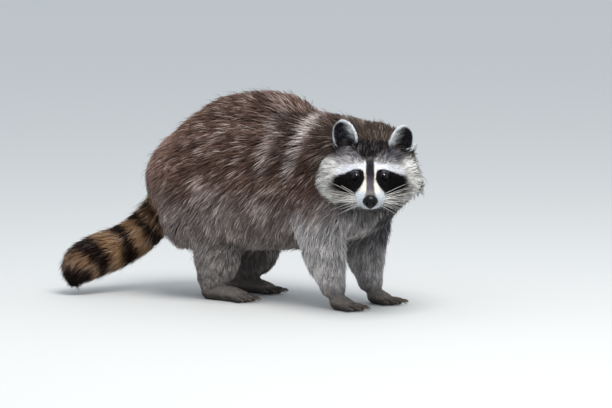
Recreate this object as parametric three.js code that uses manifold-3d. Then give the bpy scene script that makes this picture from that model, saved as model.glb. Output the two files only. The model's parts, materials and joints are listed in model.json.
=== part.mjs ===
// A common raccoon, life size, standing on all fours on level ground with its head turned to its right.
// Millimetres, +Z up. The body faces -Y, its left side is +X, and the ground is z = 0. The outer faces are
// those of the full coat, out to the tips of the fur; the soles, eyes, nose and claws are bare.
import * as THREE from "three";
import { mergeVertices } from "three/addons/utils/BufferGeometryUtils.js";
import Module from "manifold-3d";

const wasm = await Module();
wasm.setup();

// Driving sizes.
const GAP = 0.3; // between neighbouring pieces
const GROUND = 0;
const ORIGIN = [19, -49]; // moves the middle of the whole outline onto x = 0, y = 0

const EYE_MID = [-107, -208.5, 210]; // midway between the eyes, where the head's own frame sits
const HEAD_YAW = -55; // degrees, towards the animal's right
const HEAD_PITCH = 13; // degrees, nose down
const EYE_SPACING = 40;
const EYE_RADIUS = 7.6;
const EYE_DEPTH = 6; // the eye's middle behind the head frame's origin
const EYE_DROP = 2; // and under it
const NOSE = { width: 23, height: 19.5, depth: 17, at: [0, -47, -24.5] };

const TAIL_LENGTHS = 4;
const TOES = 5;

// Colours of the coat and the bare parts.
const COLOURS = {
  grizzled: "#75675d",
  grey: "#8f8782",
  pale: "#cfc8bf",
  mask: "#2a2320",
  tail: "#6d5038",
  paw: "#5b524c",
  claw: "#3a322c",
  nose: "#17161a",
  eye: "#120c09",
};
const coat = (name, roughness = 0.9) =>
  new THREE.MeshStandardMaterial({ color: COLOURS[name], roughness, metalness: 0 });

// ---- making solids -------------------------------------------------------------------------------------

const rad = THREE.MathUtils.degToRad;
const vec = (x, y, z) => new THREE.Vector3(x, y, z);

// A closed solid from a surface, put in a frame; `grow` moves the surface out along its normals.
function solid(geometry, frame, grow = 0) {
  const bare = geometry.clone();
  bare.deleteAttribute("normal");
  bare.deleteAttribute("uv");
  if (frame) bare.applyMatrix4(frame);
  const merged = mergeVertices(bare, 1e-3);
  if (grow) {
    merged.computeVertexNormals();
    const { position, normal } = merged.attributes;
    for (let i = 0; i < position.array.length; i++) position.array[i] += grow * normal.array[i];
  }
  return new wasm.Manifold(
    new wasm.Mesh({
      numProp: 3,
      vertProperties: merged.attributes.position.array,
      triVerts: new Uint32Array(merged.index.array),
    }),
  );
}

const join = (...parts) => parts.reduce((a, b) => a.add(b));
const cut = (whole, ...tools) => tools.reduce((a, b) => a.subtract(b), whole);

// The largest piece of a cut solid: what a neighbour cuts off on its far side is dropped.
const main = (whole) => whole.decompose().reduce((a, b) => (a.volume() > b.volume() ? a : b));

function mesh(name, shape, material) {
  const { vertProperties, triVerts, numProp, numVert } = main(shape).getMesh();
  const places = new Float32Array(numVert * 3);
  for (let i = 0; i < numVert; i++)
    places.set(vertProperties.subarray(i * numProp, i * numProp + 3), i * 3);
  const geometry = new THREE.BufferGeometry();
  geometry.setAttribute("position", new THREE.BufferAttribute(places, 3));
  geometry.setIndex(new THREE.BufferAttribute(new Uint32Array(triVerts), 1));
  geometry.computeVertexNormals();
  const made = new THREE.Mesh(geometry, material);
  made.name = name;
  return made;
}

// A closed body of oval rings strung on a smooth line: a sphere whose rows become the rings.
// Each station is [x, y, z, half width, rise above, drop below], and the rise and drop point along `up`.
// capStart and capEnd are the lengths over which the ends round off; 0 leaves a flat end.
// peak over 1 narrows the upper half of the rings, keel the lower half. from and to take a stretch of it.
function loft(stations, options = {}) {
  const { up = vec(0, 0, 1), around = 20, rows = 18, peak = 1, keel = 1, from = 0, to = 1 } = options;
  const { capStart = 25, capEnd = 25 } = options;
  const line = new THREE.CatmullRomCurve3(stations.map((s) => vec(s[0], s[1], s[2])), false, "catmullrom", 0.5);
  const size = new THREE.CatmullRomCurve3(stations.map((s) => vec(s[3], s[4], s[5])), false, "catmullrom", 0.5);
  const length = line.getLength();
  const geometry = new THREE.SphereGeometry(1, around, rows);
  const place = geometry.attributes.position;
  const uv = geometry.attributes.uv;
  for (let i = 0; i < place.count; i++) {
    const row = Math.round((1 - uv.getY(i)) * rows);
    const end = row === 0 || row === rows;
    // Flat ends give up their first and last row to the rim of the end face.
    const first = capStart ? 0 : 1;
    const last = capEnd ? rows : rows - 1;
    const even = THREE.MathUtils.clamp((row - first) / (last - first), 0, 1);
    const bunched = 0.5 - 0.5 * Math.cos(Math.PI * even);
    const t = from + (to - from) * (0.45 * even + 0.55 * bunched);
    const middle = line.getPoint(t);
    const ahead = line.getTangent(t);
    const rise = up.clone().addScaledVector(ahead, -up.dot(ahead)).normalize();
    const side = new THREE.Vector3().crossVectors(rise, ahead);
    const [width, over, under] = size.getPoint(t).toArray();
    const cap = (gone, over1) => (over1 ? Math.sqrt(1 - (1 - Math.min(gone / over1, 1)) ** 2) : 1);
    const round = end ? 0 : cap((t - from) * length, capStart) * cap((to - t) * length, capEnd);
    const angle = uv.getX(i) * 2 * Math.PI;
    const across = -Math.cos(angle);
    const upward = Math.sin(angle);
    const narrow = Math.sign(across) * Math.abs(across) ** (upward > 0 ? peak : keel);
    middle.addScaledVector(side, narrow * width * round);
    middle.addScaledVector(rise, upward * (upward > 0 ? over : under) * round);
    place.setXYZ(i, middle.x, middle.y, middle.z);
  }
  return geometry;
}

// Two solids of one loft: itself, and itself grown by the gap, which cuts its neighbours.
function piece(stations, options = {}, frame) {
  const form = loft(stations, options);
  return { body: solid(form, frame), tool: solid(form, frame, GAP) };
}

const mirrored = (stations, side) => stations.map(([x, ...rest]) => [x * side, ...rest]);

// A leg swung back or forward from its top, which stays in place, so that its foot moves by `reach`.
function swung(stations, reach) {
  const top = stations[0][2];
  return stations.map(([x, y, z, ...rest]) => [x, y + reach * (1 - z / top), z, ...rest]);
}

function block(low, high, frame) {
  const [a, b] = [vec(...low), vec(...high)];
  const size = b.clone().sub(a);
  const middle = a.clone().add(b).multiplyScalar(0.5);
  return solid(new THREE.BoxGeometry(size.x, size.y, size.z).translate(middle.x, middle.y, middle.z), frame);
}

const FAR = 500;
const belowGround = block([-FAR, -FAR, -FAR], [FAR, FAR, GROUND]);

// ---- trunk ---------------------------------------------------------------------------------------------
// A deep, arched barrel: lowest and narrowest at the chest, highest over the loins, full at the haunches.

const trunk = piece(
  [
    [0, 260, 156, 30, 30, 30],
    [0, 240, 162, 52, 50, 46],
    [0, 215, 166, 75, 76, 58],
    [0, 178, 168, 96, 98, 78],
    [0, 125, 174, 104, 128, 100],
    [0, 65, 178, 103, 138, 105],
    [0, 10, 178, 97, 136, 102],
    [0, -22, 180, 92, 123, 99],
    [0, -50, 184, 88, 106, 97],
    [-1, -100, 190, 80, 96, 92],
    [-4, -140, 194, 70, 84, 78],
    [-8, -172, 200, 44, 56, 54],
  ],
  { around: 22, rows: 20, capStart: 30, capEnd: 34 },
);

// ---- head, in its own frame: facing -Y, +X its left, the origin midway between the eyes ------------------

const headFrame = new THREE.Matrix4().compose(
  vec(...EYE_MID),
  new THREE.Quaternion().setFromEuler(new THREE.Euler(rad(HEAD_PITCH), 0, rad(HEAD_YAW), "ZXY")),
  vec(1, 1, 1),
);

// Skull and cheek ruffs from the back to the front, then the brow and the muzzle.
const SKULL = [
  [0, 108, -16, 44, 44, 36],
  [0, 84, -22, 70, 62, 44],
  [0, 60, -26, 84, 68, 46],
  [0, 40, -25, 79, 60, 46],
  [0, 24, -20, 60, 46, 42],
  [0, 10, -15, 42, 29, 35],
  [0, -3, -16, 27, 20, 28],
  [0, -16, -20, 23, 15, 22],
  [0, -32, -24, 22, 14, 17],
  [0, -46, -25, 15, 11, 13],
];
const SKULL_FORM = { around: 22, rows: 20, capStart: 34, capEnd: 10, peak: 1.3 };
const skull = piece(SKULL, SKULL_FORM);
const skullInBody = piece(SKULL, SKULL_FORM, headFrame);

const MUZZLE_START = -6; // the muzzle begins here, just in front of the eyes
const MOUTH = { front: -31, back: -36, corner: 6 }; // heights of the mouth line at its ends, and its corner's y

const eyes = [-1, 1].map((side) => {
  const at = [(side * EYE_SPACING) / 2, EYE_DEPTH, -EYE_DROP];
  const ball = (radius) => solid(new THREE.SphereGeometry(radius, 12, 8).translate(...at));
  return { side, body: ball(EYE_RADIUS), tool: ball(EYE_RADIUS + GAP) };
});

const noseForm = (grow) =>
  solid(
    new THREE.SphereGeometry(1, 12, 8)
      .scale(NOSE.width / 2 + grow, NOSE.depth / 2 + grow, NOSE.height / 2 + grow)
      .translate(...NOSE.at),
  );

// The outer ear: a flattened, round-topped shell, hollowed from the front.
const EAR = { length: 47, halfWidth: 20, thickness: 6, hollow: 5, lean: 12, sink: 10 };
const EAR_SEATS = { right: [-31.5, 52, 28], left: [41.5, 52, 19] };

function ear(side) {
  const outward = side === "left" ? 1 : -1;
  const tall = (share, width, thick, shift = 0) => [
    outward * share * EAR.length * Math.tan(rad(EAR.lean)),
    shift,
    share * EAR.length - EAR.sink,
    width * EAR.halfWidth,
    thick * EAR.thickness,
    thick * EAR.thickness,
  ];
  const rim = (scale, shift, low) =>
    loft(
      [
        tall(low, 0.85 * scale, 1.6 * scale, shift),
        tall(0.35, 1 * scale, 1.3 * scale, shift),
        tall(0.65, 0.98 * scale, 0.9 * scale, shift),
        tall(0.88, 0.82 * scale, 0.6 * scale, shift),
        tall(1.1 - 0.16 * (1 - scale), 0.5 * scale, 0.35 * scale, shift),
      ],
      { up: vec(0, -1, 0), around: 12, rows: 8, capStart: 6, capEnd: 14 },
    );
  const seat = new THREE.Matrix4().makeTranslation(...EAR_SEATS[side]);
  seat.multiply(new THREE.Matrix4().makeRotationZ(rad(outward * 18)));
  return cut(solid(rim(1, 0, 0), seat), solid(rim(0.8, -EAR.hollow, 0.2), seat), skull.tool);
}

function headGroup() {
  const head = new THREE.Group();
  headFrame.decompose(head.position, head.quaternion, head.scale);
  const nose = noseForm(0);
  const ahead = block([-FAR, -FAR, -FAR], [FAR, MUZZLE_START, FAR]);
  const behind = block([-FAR, MUZZLE_START - GAP, -FAR], [FAR, FAR, FAR]);
  const mouthTurn = Math.atan2(MOUTH.back - MOUTH.front, MOUTH.corner - NOSE.at[1]);
  const mouth = new THREE.Matrix4()
    .makeTranslation(0, NOSE.at[1], MOUTH.front)
    .multiply(new THREE.Matrix4().makeRotationX(mouthTurn));
  const overMouth = block([-FAR, -FAR, 0], [FAR, FAR, FAR], mouth);
  const underMouth = block([-FAR, -FAR, -FAR], [FAR, FAR, -GAP], mouth);
  const bare = cut(skull.body, ...eyes.map((e) => e.tool), noseForm(GAP));
  const face = bare.intersect(ahead);
  head.add(mesh("head", cut(bare, ahead), coat("pale")));
  head.add(mesh("muzzle", cut(face.intersect(overMouth), behind), coat("pale")));
  head.add(mesh("lower_jaw", cut(face.intersect(underMouth), behind), coat("pale")));
  head.add(mesh("nose", nose, coat("nose", 0.35)));
  for (const { side, body } of eyes)
    head.add(mesh(side < 0 ? "eye_right" : "eye_left", body, coat("eye", 0.08)));
  for (const side of ["right", "left"]) head.add(mesh("ear_" + side, ear(side), coat("grey")));
  return head;
}

// ---- neck ----------------------------------------------------------------------------------------------
// Short and thick with fur, from the withers round to the back of the turned head.

const neck = piece(
  [
    [0, -84, 200, 64, 74, 84],
    [2, -130, 202, 65, 78, 80],
    [-10, -163, 203, 57, 70, 68],
    [-36, -186, 204, 48, 58, 54],
  ],
  { around: 16, rows: 9, peak: 0.66, keel: 1.2 },
);

// ---- legs ----------------------------------------------------------------------------------------------

const FORWARD = vec(0, -1, 0);
const LIMB_FORM = { up: FORWARD, around: 11, rows: 8 };

const FORELEG = [
  [40, -86, 208, 26, 36, 42],
  [57, -88, 165, 32, 44, 48],
  [57, -88, 118, 30, 42, 46],
  [51, -90, 84, 26, 36, 40],
  [48, -96, 58, 20, 26, 30],
  [46, -101, 36, 17, 20, 21],
  [46, -104, 12, 15, 16, 16],
];
const THIGH = [
  [34, 132, 238, 30, 42, 46],
  [55, 130, 204, 44, 62, 68],
  [63, 126, 162, 49, 68, 80],
  [64, 118, 120, 44, 64, 80],
  [61, 106, 82, 33, 50, 62],
];
const SHANK = [
  [60, 96, 98, 28, 42, 58],
  [57, 100, 64, 24, 38, 46],
  [53, 112, 36, 18, 25, 32],
  [51, 120, 14, 16, 20, 22],
];

// A foot lies along -Y from its heel at y = 0. Each station is [x, y, z, half width, rise, drop].
const FOREPAW = [
  [0, 12, 13, 12, 11, 14],
  [0, -4, 12, 15, 11, 14],
  [0, -17, 9, 17, 8, 11],
  [0, -25, 7, 14, 6, 9],
];
const HINDFOOT = [
  [0, 16, 15, 12, 14, 16],
  [0, -6, 14, 16, 14, 16],
  [0, -32, 12, 17, 11, 14],
  [0, -54, 9, 19, 8, 11],
  [0, -63, 7, 16, 6, 9],
];
const TOE = { thick: 4.1, spread: 10, claw: 9 };

// One toe as stations from its root, swung outward by its place across the foot.
function toe(index, root, length) {
  const place = index - (TOES - 1) / 2;
  const turn = rad(place * TOE.spread);
  const short = 1 - 0.1 * Math.abs(place) - (index === 0 ? 0.14 : 0);
  const reach = (share, z, scale) => [
    place * root.step + Math.sin(turn) * share * length * short,
    root.y - Math.cos(turn) * share * length * short + Math.abs(place) * root.step * 0.35,
    z,
    TOE.thick * scale,
    TOE.thick * scale,
    TOE.thick * 1.3 * scale,
  ];
  return { bones: [reach(-0.3, 7, 1), reach(0.4, 6.6, 0.95), reach(1, 4.4, 0.85)], turn, end: reach(0.93, 5.6, 1) };
}

// A curved, pointed claw that leaves the toe's end and comes down in front of it.
function claw(end, turn) {
  const out = (forward, z, r) => [Math.sin(turn) * forward, -Math.cos(turn) * forward, z, r, r * 1.2, r * 1.2];
  const at = new THREE.Matrix4().makeTranslation(end[0], end[1], end[2]);
  const form = [out(-1, 0.2, 1.5), out(TOE.claw * 0.45, 0.4, 1.35), out(TOE.claw, -3.2, 0.5)];
  return { form, at };
}

function foot(name, side, at, form, root, toeLength, legTool) {
  const group = new THREE.Group();
  const frame = new THREE.Matrix4().makeTranslation(...at);
  const sole = piece(form, { around: 10, rows: 7, capStart: 12, capEnd: 7 }, frame);
  let paw = sole.body;
  const claws = [];
  for (let i = 0; i < TOES; i++) {
    const { bones, turn, end } = toe(i, root, toeLength);
    const mirror = (s) => mirrored(s, side);
    const bone = piece(mirror(bones), { around: 6, rows: 4, capStart: 4, capEnd: 4 }, frame);
    paw = join(paw, bone.body);
    const { form: hook, at: seat } = claw([end[0] * side, end[1], end[2]], turn * side);
    const claim = frame.clone().multiply(seat);
    const horn = loft(hook, { around: 5, rows: 4, capStart: 2, capEnd: 3 });
    claws.push({ nail: solid(horn, claim), socket: solid(horn, claim, GAP) });
  }
  paw = cut(paw, legTool, belowGround, ...claws.map((c) => c.socket));
  group.add(mesh(name, paw, coat("paw")));
  claws.forEach((c, i) => group.add(mesh(`claw_${name}_${i + 1}`, cut(c.nail, belowGround), coat("claw", 0.4))));
  return group;
}

const STEP_BACK = { fore_left: -5, fore_right: 0, hind_left: 28, hind_right: 0 };
const FORE_ROOT = { y: -22, step: 6.8 };
const HIND_ROOT = { y: -58, step: 7.6 };
const FORE_TOE = 30;
const HIND_TOE = 27;

function legs(trunkTool, frontCutter) {
  const group = new THREE.Group();
  for (const [word, side] of [["left", 1], ["right", -1]]) {
    const foreShift = STEP_BACK["fore_" + word];
    const hindShift = STEP_BACK["hind_" + word];
    const place = (stations, reach) => swung(mirrored(stations, side), reach);

    const foreleg = piece(place(FORELEG, foreShift), { ...LIMB_FORM, capEnd: 8 });
    group.add(mesh("foreleg_" + word, cut(foreleg.body, trunkTool, frontCutter, belowGround), coat("grey")));
    const foreEnd = place(FORELEG, foreShift).at(-1);
    group.add(foot("forepaw_" + word, side, [foreEnd[0], foreEnd[1] - 4, 0], FOREPAW, FORE_ROOT, FORE_TOE, foreleg.tool));

    const thigh = piece(place(THIGH, hindShift), LIMB_FORM);
    group.add(mesh("thigh_" + word, cut(thigh.body, trunkTool), coat("grizzled")));
    const shank = piece(place(SHANK, hindShift), { ...LIMB_FORM, capEnd: 8 });
    group.add(mesh("shank_" + word, cut(shank.body, thigh.tool, trunkTool, belowGround), coat("grey")));
    const hindEnd = place(SHANK, hindShift).at(-1);
    const cutter = join(shank.tool, thigh.tool);
    group.add(foot("hindfoot_" + word, side, [hindEnd[0], hindEnd[1], 0], HINDFOOT, HIND_ROOT, HIND_TOE, cutter));
  }
  return group;
}

// ---- tail ----------------------------------------------------------------------------------------------
// Bushy and blunt. It leaves the rump low, sweeps round to the animal's right and droops to just off the
// ground. It is divided into equal lengths.

const TAIL = [
  [0, 206, 154, 30, 34, 30],
  [-4, 240, 125, 31, 35, 30],
  [-20, 268, 92, 31, 32, 32],
  [-50, 288, 70, 32, 33, 33],
  [-87, 305, 57, 33, 34, 34],
  [-117, 315, 43, 32, 32, 32],
  [-136, 315, 12, 20, 20, 20],
];

function tail(trunkTool) {
  const group = new THREE.Group();
  const share = GAP / new THREE.CatmullRomCurve3(TAIL.map((s) => vec(s[0], s[1], s[2]))).getLength();
  for (let i = 0; i < TAIL_LENGTHS; i++) {
    const from = i / TAIL_LENGTHS + (i ? share / 2 : 0);
    const to = (i + 1) / TAIL_LENGTHS - (i < TAIL_LENGTHS - 1 ? share / 2 : 0);
    const last = i === TAIL_LENGTHS - 1;
    const form = loft(TAIL, { around: 14, rows: 6, from, to, capStart: i ? 0 : 10, capEnd: last ? 34 : 0 });
    group.add(mesh("tail_" + (i + 1), cut(solid(form), trunkTool, belowGround), coat("tail")));
  }
  return group;
}

// ---- the whole animal ------------------------------------------------------------------------------------

const raccoon = new THREE.Group();
raccoon.name = "raccoon";
raccoon.position.set(ORIGIN[0], ORIGIN[1], 0);
raccoon.add(mesh("trunk", cut(trunk.body, skullInBody.tool), coat("grizzled")));
raccoon.add(mesh("neck", cut(neck.body, trunk.tool, skullInBody.tool), coat("grizzled")));
raccoon.add(headGroup());
raccoon.add(legs(trunk.tool, join(skullInBody.tool, neck.tool)));
raccoon.add(tail(trunk.tool));

export default raccoon;
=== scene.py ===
"""A common raccoon at life size, standing on all fours and looking over its right shoulder.

The hide is one skin, the coat is tufts of solid hair combed over it, and the eyes, nose, claws and
whiskers are pieces of their own.  Body measures are millimetres in the body's frame: x to the left
side, y to the tail, z up from the floor.  Head measures are in the head's frame, from between the eyes.
"""
import json
import math

import bpy
import numpy as np
from mathutils import Matrix, Vector
from mathutils.bvhtree import BVHTree
from mathutils.kdtree import KDTree

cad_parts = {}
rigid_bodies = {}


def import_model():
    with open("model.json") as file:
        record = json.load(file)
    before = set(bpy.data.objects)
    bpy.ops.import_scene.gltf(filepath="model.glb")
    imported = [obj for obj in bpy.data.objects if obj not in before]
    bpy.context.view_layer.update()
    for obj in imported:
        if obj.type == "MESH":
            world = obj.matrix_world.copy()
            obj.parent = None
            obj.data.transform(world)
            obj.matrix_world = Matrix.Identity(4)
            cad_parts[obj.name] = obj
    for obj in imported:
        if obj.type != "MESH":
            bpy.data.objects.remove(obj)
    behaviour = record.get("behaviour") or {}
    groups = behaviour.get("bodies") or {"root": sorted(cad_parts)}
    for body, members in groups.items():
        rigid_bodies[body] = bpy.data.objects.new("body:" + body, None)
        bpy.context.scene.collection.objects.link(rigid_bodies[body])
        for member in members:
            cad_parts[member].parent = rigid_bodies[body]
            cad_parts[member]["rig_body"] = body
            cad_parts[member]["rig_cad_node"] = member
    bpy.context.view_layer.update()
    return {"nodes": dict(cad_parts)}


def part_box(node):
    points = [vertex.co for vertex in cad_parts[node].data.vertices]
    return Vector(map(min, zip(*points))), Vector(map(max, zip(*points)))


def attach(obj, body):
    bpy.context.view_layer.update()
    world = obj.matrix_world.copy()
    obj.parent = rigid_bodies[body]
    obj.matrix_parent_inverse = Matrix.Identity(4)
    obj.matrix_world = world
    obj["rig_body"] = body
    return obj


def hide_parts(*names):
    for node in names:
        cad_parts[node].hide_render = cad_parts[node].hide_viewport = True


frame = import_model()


# ---- The hide ----
# A raccoon's hide runs over the whole body without a break.  The flesh solids are copied and joined,
# remeshed into one closed surface, smoothed where the coat is deep, and drawn in by the coat's depth.
MM = 0.001
SIDES = ("left", "right")
FLESH = ["trunk", "neck", "head", "muzzle", "lower_jaw", "tail_1", "tail_2", "tail_3", "tail_4"]
LIMBS = ("ear", "foreleg", "forepaw", "thigh", "shank", "hindfoot")
FLESH += [f"{limb}_{side}" for limb in LIMBS for side in SIDES]
BODY_ORIGIN = np.array((19.0, -49.0, 0.0))
HEAD_PITCH = math.radians(13)
EYE_DEPTH, EYE_DROP, EYE_RADIUS = 6.0, 2.0, 7.6
WELD, JOIN_FATTER = .02, .4
HIDE_VOXEL, HIDE_THINNED, DEEP_COAT = 2.0, .22, 4


def deselect():
    """Leaves edit mode and deselects everything."""
    if bpy.context.mode != "OBJECT":
        bpy.ops.object.mode_set(mode="OBJECT")
    bpy.ops.object.select_all(action="DESELECT")


def select_only(*objects):
    """Selects these objects and makes the last one active."""
    deselect()
    for obj in objects:
        obj.select_set(True)
    bpy.context.view_layer.objects.active = objects[-1]


def edit_all(obj):
    """Goes into edit mode with the whole mesh selected."""
    bpy.context.view_layer.objects.active = obj
    bpy.ops.object.mode_set(mode="EDIT")
    bpy.ops.mesh.select_all(action="SELECT")


def pick(obj, kind, chosen):
    """Goes into edit mode with only these points ("VERT") or faces ("FACE") selected."""
    bpy.context.view_layer.objects.active = obj
    bpy.ops.object.mode_set(mode="EDIT")
    bpy.ops.mesh.select_mode(type=kind)
    bpy.ops.mesh.select_all(action="DESELECT")
    bpy.ops.object.mode_set(mode="OBJECT")
    elements = obj.data.vertices if kind == "VERT" else obj.data.polygons
    elements.foreach_set("select", chosen)
    bpy.ops.object.mode_set(mode="EDIT")


def copy_nodes(names, label):
    """One new object with the merged meshes of the named CAD nodes."""
    select_only(*(frame["nodes"][name] for name in reversed(names)))
    bpy.ops.object.duplicate()
    if len(names) > 1:
        bpy.ops.object.join()
    copy = bpy.context.object
    copy.name = label
    copy.data.name = label
    bpy.ops.object.parent_clear(type="CLEAR_KEEP_TRANSFORM")
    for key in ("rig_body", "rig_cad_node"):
        if key in copy:
            del copy[key]
    copy.data.materials.clear()
    edit_all(copy)
    bpy.ops.mesh.remove_doubles(threshold=WELD * MM)
    bpy.ops.object.mode_set(mode="OBJECT")
    return copy


def read(rows, key, width=3):
    """One value of every row of a mesh, such as the place of each point, as an array."""
    flat = np.empty(len(rows) * width, dtype=np.float32)
    rows.foreach_get(key, flat)
    return flat.reshape(-1, width).astype(float)


def points_of(mesh):
    return read(mesh.vertices, "co")


def normals_of(mesh):
    return read(mesh.vertex_normals, "vector")


def put_points(mesh, points):
    """Moves the mesh's points to these places."""
    mesh.vertices.foreach_set("co", np.ascontiguousarray(points, dtype=np.float32).ravel())
    mesh.update()


def body_frame(points):
    """Places in the room, in metres, as millimetres in the body's frame."""
    return points / MM - BODY_ORIGIN


def room_frame(points):
    """Places in the body's frame as metres in the room."""
    return (points + BODY_ORIGIN) * MM


def unit(vectors):
    """The same directions, each of length 1."""
    return vectors / np.maximum(np.linalg.norm(vectors, axis=-1, keepdims=True), 1e-9)


def middle(node):
    """The middle of a CAD node's box."""
    low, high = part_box(node)
    return body_frame((np.array(low) + np.array(high)) / 2)


def ease(value, start, end):
    """0 before start, 1 after end, and a smooth step between."""
    t = np.clip((value - start) / (end - start), 0, 1)
    return t * t * (3 - 2 * t)


def apply_modifier(obj, kind, **settings):
    """Adds a modifier of this kind with these settings, and applies it."""
    bpy.context.view_layer.objects.active = obj
    modifier = obj.modifiers.new(kind.lower(), kind)
    for key, value in settings.items():
        setattr(modifier, key, value)
    bpy.ops.object.modifier_apply(modifier=modifier.name)


# the head's axes: its left runs from eye to eye, and its back tips up by the pitch
eye_middle = {side: middle(f"eye_{side}") for side in SIDES}
head_left = unit(eye_middle["left"] - eye_middle["right"])
level_back = np.array((-head_left[1], head_left[0], 0.0))
UP = np.array((0.0, 0.0, 1.0))
head_back = level_back * math.cos(HEAD_PITCH) + UP * math.sin(HEAD_PITCH)
head_up = UP * math.cos(HEAD_PITCH) - level_back * math.sin(HEAD_PITCH)
HEAD_AXES = np.array((head_left, head_back, head_up))
head_origin = (eye_middle["left"] + eye_middle["right"]) / 2 - head_back * EYE_DEPTH + head_up * EYE_DROP
GAZE = -head_back


def head_frame(points):
    """Body points as (left, back, up) from between the eyes."""
    return (points - head_origin) @ HEAD_AXES.T


def from_head(points):
    """Places in the head's frame as body points."""
    return np.asarray(points, float) @ HEAD_AXES + head_origin


# where the coat lies: place, lie of the hair, tuft length, depth of the coat; each is mirrored
BODY_LIE = [
    ((0, -90, 285), (0, 1, -.1), 32, 16), ((0, 0, 312), (0, 1, -.05), 34, 17),
    ((0, 100, 305), (0, 1, -.25), 34, 17), ((0, 190, 255), (0, .85, -.5), 34, 17),
    ((0, 250, 180), (0, .3, -1), 30, 15), ((45, -60, 285), (.15, .8, -.4), 32, 16),
    ((50, 30, 300), (.2, .9, -.3), 34, 17), ((60, 120, 285), (.2, .9, -.4), 34, 17),
    ((85, -90, 220), (0, .5, -.85), 32, 16), ((85, -95, 160), (0, .3, -.95), 28, 14),
    ((95, -30, 230), (0, .75, -.65), 34, 17), ((96, -20, 160), (0, .5, -.85), 32, 16),
    ((100, 40, 230), (0, .86, -.5), 34, 17), ((102, 40, 160), (0, .7, -.7), 34, 17),
    ((102, 120, 230), (0, .84, -.54), 34, 17), ((100, 120, 150), (0, .6, -.8), 32, 16),
    ((90, 180, 200), (0, .7, -.7), 32, 16), ((70, 30, 100), (-.1, .4, -.9), 34, 15),
    ((0, 30, 78), (0, 1, -.1), 24, 13), ((0, -80, 88), (0, 1, -.3), 24, 13),
    ((0, 120, 80), (0, 1, -.1), 22, 12), ((0, -170, 170), (0, .1, -1), 28, 14),
    ((0, -130, 120), (0, .5, -.85), 26, 13), ((-10, -150, 275), (.3, .95, -.1), 28, 14),
    ((60, -140, 200), (.1, .45, -.9), 32, 16), ((-60, -130, 215), (-.1, .75, -.6), 32, 16),
    ((-70, -120, 170), (-.1, .6, -.75), 32, 16), ((-50, -190, 150), (.3, .4, -.9), 26, 13),
    ((56, -86, 130), (0, .2, -1), 28, 11), ((50, -94, 82), (0, .15, -1), 21, 8),
    ((50, -70, 100), (0, .3, -1), 28, 11), ((46, -101, 46), (0, .05, -1), 11, 4),
    ((46, -106, 22), (0, -.3, -1), 5, 1.8), ((46, -130, 12), (0, -1, -.25), 3.5, 1),
    ((90, 115, 130), (0, .4, -.92), 34, 15), ((84, 105, 90), (0, .25, -.97), 32, 13),
    ((32, 115, 110), (0, .35, -.95), 22, 10), ((57, 95, 62), (0, .25, -.97), 18, 7),
    ((53, 118, 36), (0, .1, -1), 9, 3.5), ((52, 112, 14), (0, -.5, -.8), 5, 1.6),
    ((52, 85, 12), (0, -1, -.15), 3.8, 1),
]
HEAD_LIE = [
    ((0, -42, -12), (0, .95, .3), 2.4, .7), ((0, -24, -8), (0, .95, .35), 3, .9),
    ((0, -6, 2), (0, .7, .7), 3.4, 1.2), ((0, 12, 24), (0, .65, .76), 6, 2.4),
    ((0, 28, 42), (0, .85, .5), 10, 4.5), ((0, 62, 50), (0, 1, .1), 12, 7),
    ((0, 100, 22), (0, .85, -.4), 20, 10), ((22, 4, 13), (.55, .45, .6), 5, 1.8),
    ((24, 24, 32), (.35, .75, .55), 10, 4.5), ((42, 20, 14), (.85, .4, .2), 9, 3.6),
    ((55, 42, 24), (.8, .55, .2), 16, 8), ((11, -6, -1), (.3, .75, .5), 2.4, .7),
    ((20, -7, -10), (.6, .7, -.3), 3, .9), ((31, 4, -2), (.9, .4, 0), 5, 1.6),
    ((42, 14, -12), (.9, .4, -.15), 9, 3.6), ((45, 32, -38), (.75, .35, -.6), 17, 8),
    ((78, 58, -20), (.95, .25, -.25), 34, 15), ((66, 62, 18), (.85, .45, .15), 26, 11),
    ((62, 54, -52), (.7, .3, -.65), 31, 14), ((20, -22, -22), (.5, .85, -.15), 3.4, 1.1),
    ((22, -12, -30), (.55, .7, -.45), 5, 1.8), ((13, -42, -32), (.4, .8, -.45), 2.6, .8),
    ((0, -36, -40), (0, .75, -.65), 4, 1.4), ((12, -20, -44), (.25, .7, -.65), 7, 2.6),
    ((26, 18, -55), (.35, .5, -.78), 15, 7), ((0, 30, -62), (0, .5, -.86), 20, 9),
    ((0, 70, -66), (0, .5, -.86), 26, 12),
]
TAIL_PATH = np.array(((0, 206, 154), (-4, 240, 125), (-20, 268, 92), (-50, 288, 70),
                      (-87, 305, 57), (-117, 315, 43), (-136, 315, 12)), float)
TAIL_TUFT, TAIL_COAT = 28, 12
FEET = ("forepaw", "hindfoot")
PAW_PARTS = [FLESH.index(f"{foot}_{side}") for foot in FEET for side in SIDES]
TAIL_PARTS = [FLESH.index(f"tail_{n}") for n in range(1, 5)]
EAR_TUFT, EAR_COAT = 3.6, .7
EAR_FRINGE, EAR_FRINGE_COAT = 5.5, 1.6
EAR_INNER, EAR_INNER_COAT = 9, 1.5
PAW_TUFT, PAW_COAT = 3.4, .6
LIE_SOFTNESS = 1.0
LIE_FALL = -5.0


def mirrored(rows, to_body):
    """Both sides' anchors, each as place, lie, length and depth."""
    table = []
    for place, lie, length, depth in rows:
        for side in ((1, -1) if place[0] > 0 else (1,)):
            table.append((*to_body(place, side), *to_body(lie, side, True), length, depth))
    return table


def body_side(vector, side, is_lie=False):
    """A row's place or lie on this side (1 left, -1 right), in the body's frame."""
    return (vector[0] * side, vector[1], vector[2])


def head_side(vector, side, is_lie=False):
    """The same for a row that is measured in the head's frame."""
    turned = np.array((vector[0] * side, vector[1], vector[2]), float)
    return tuple(turned @ HEAD_AXES) if is_lie else tuple(from_head(turned))


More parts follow.
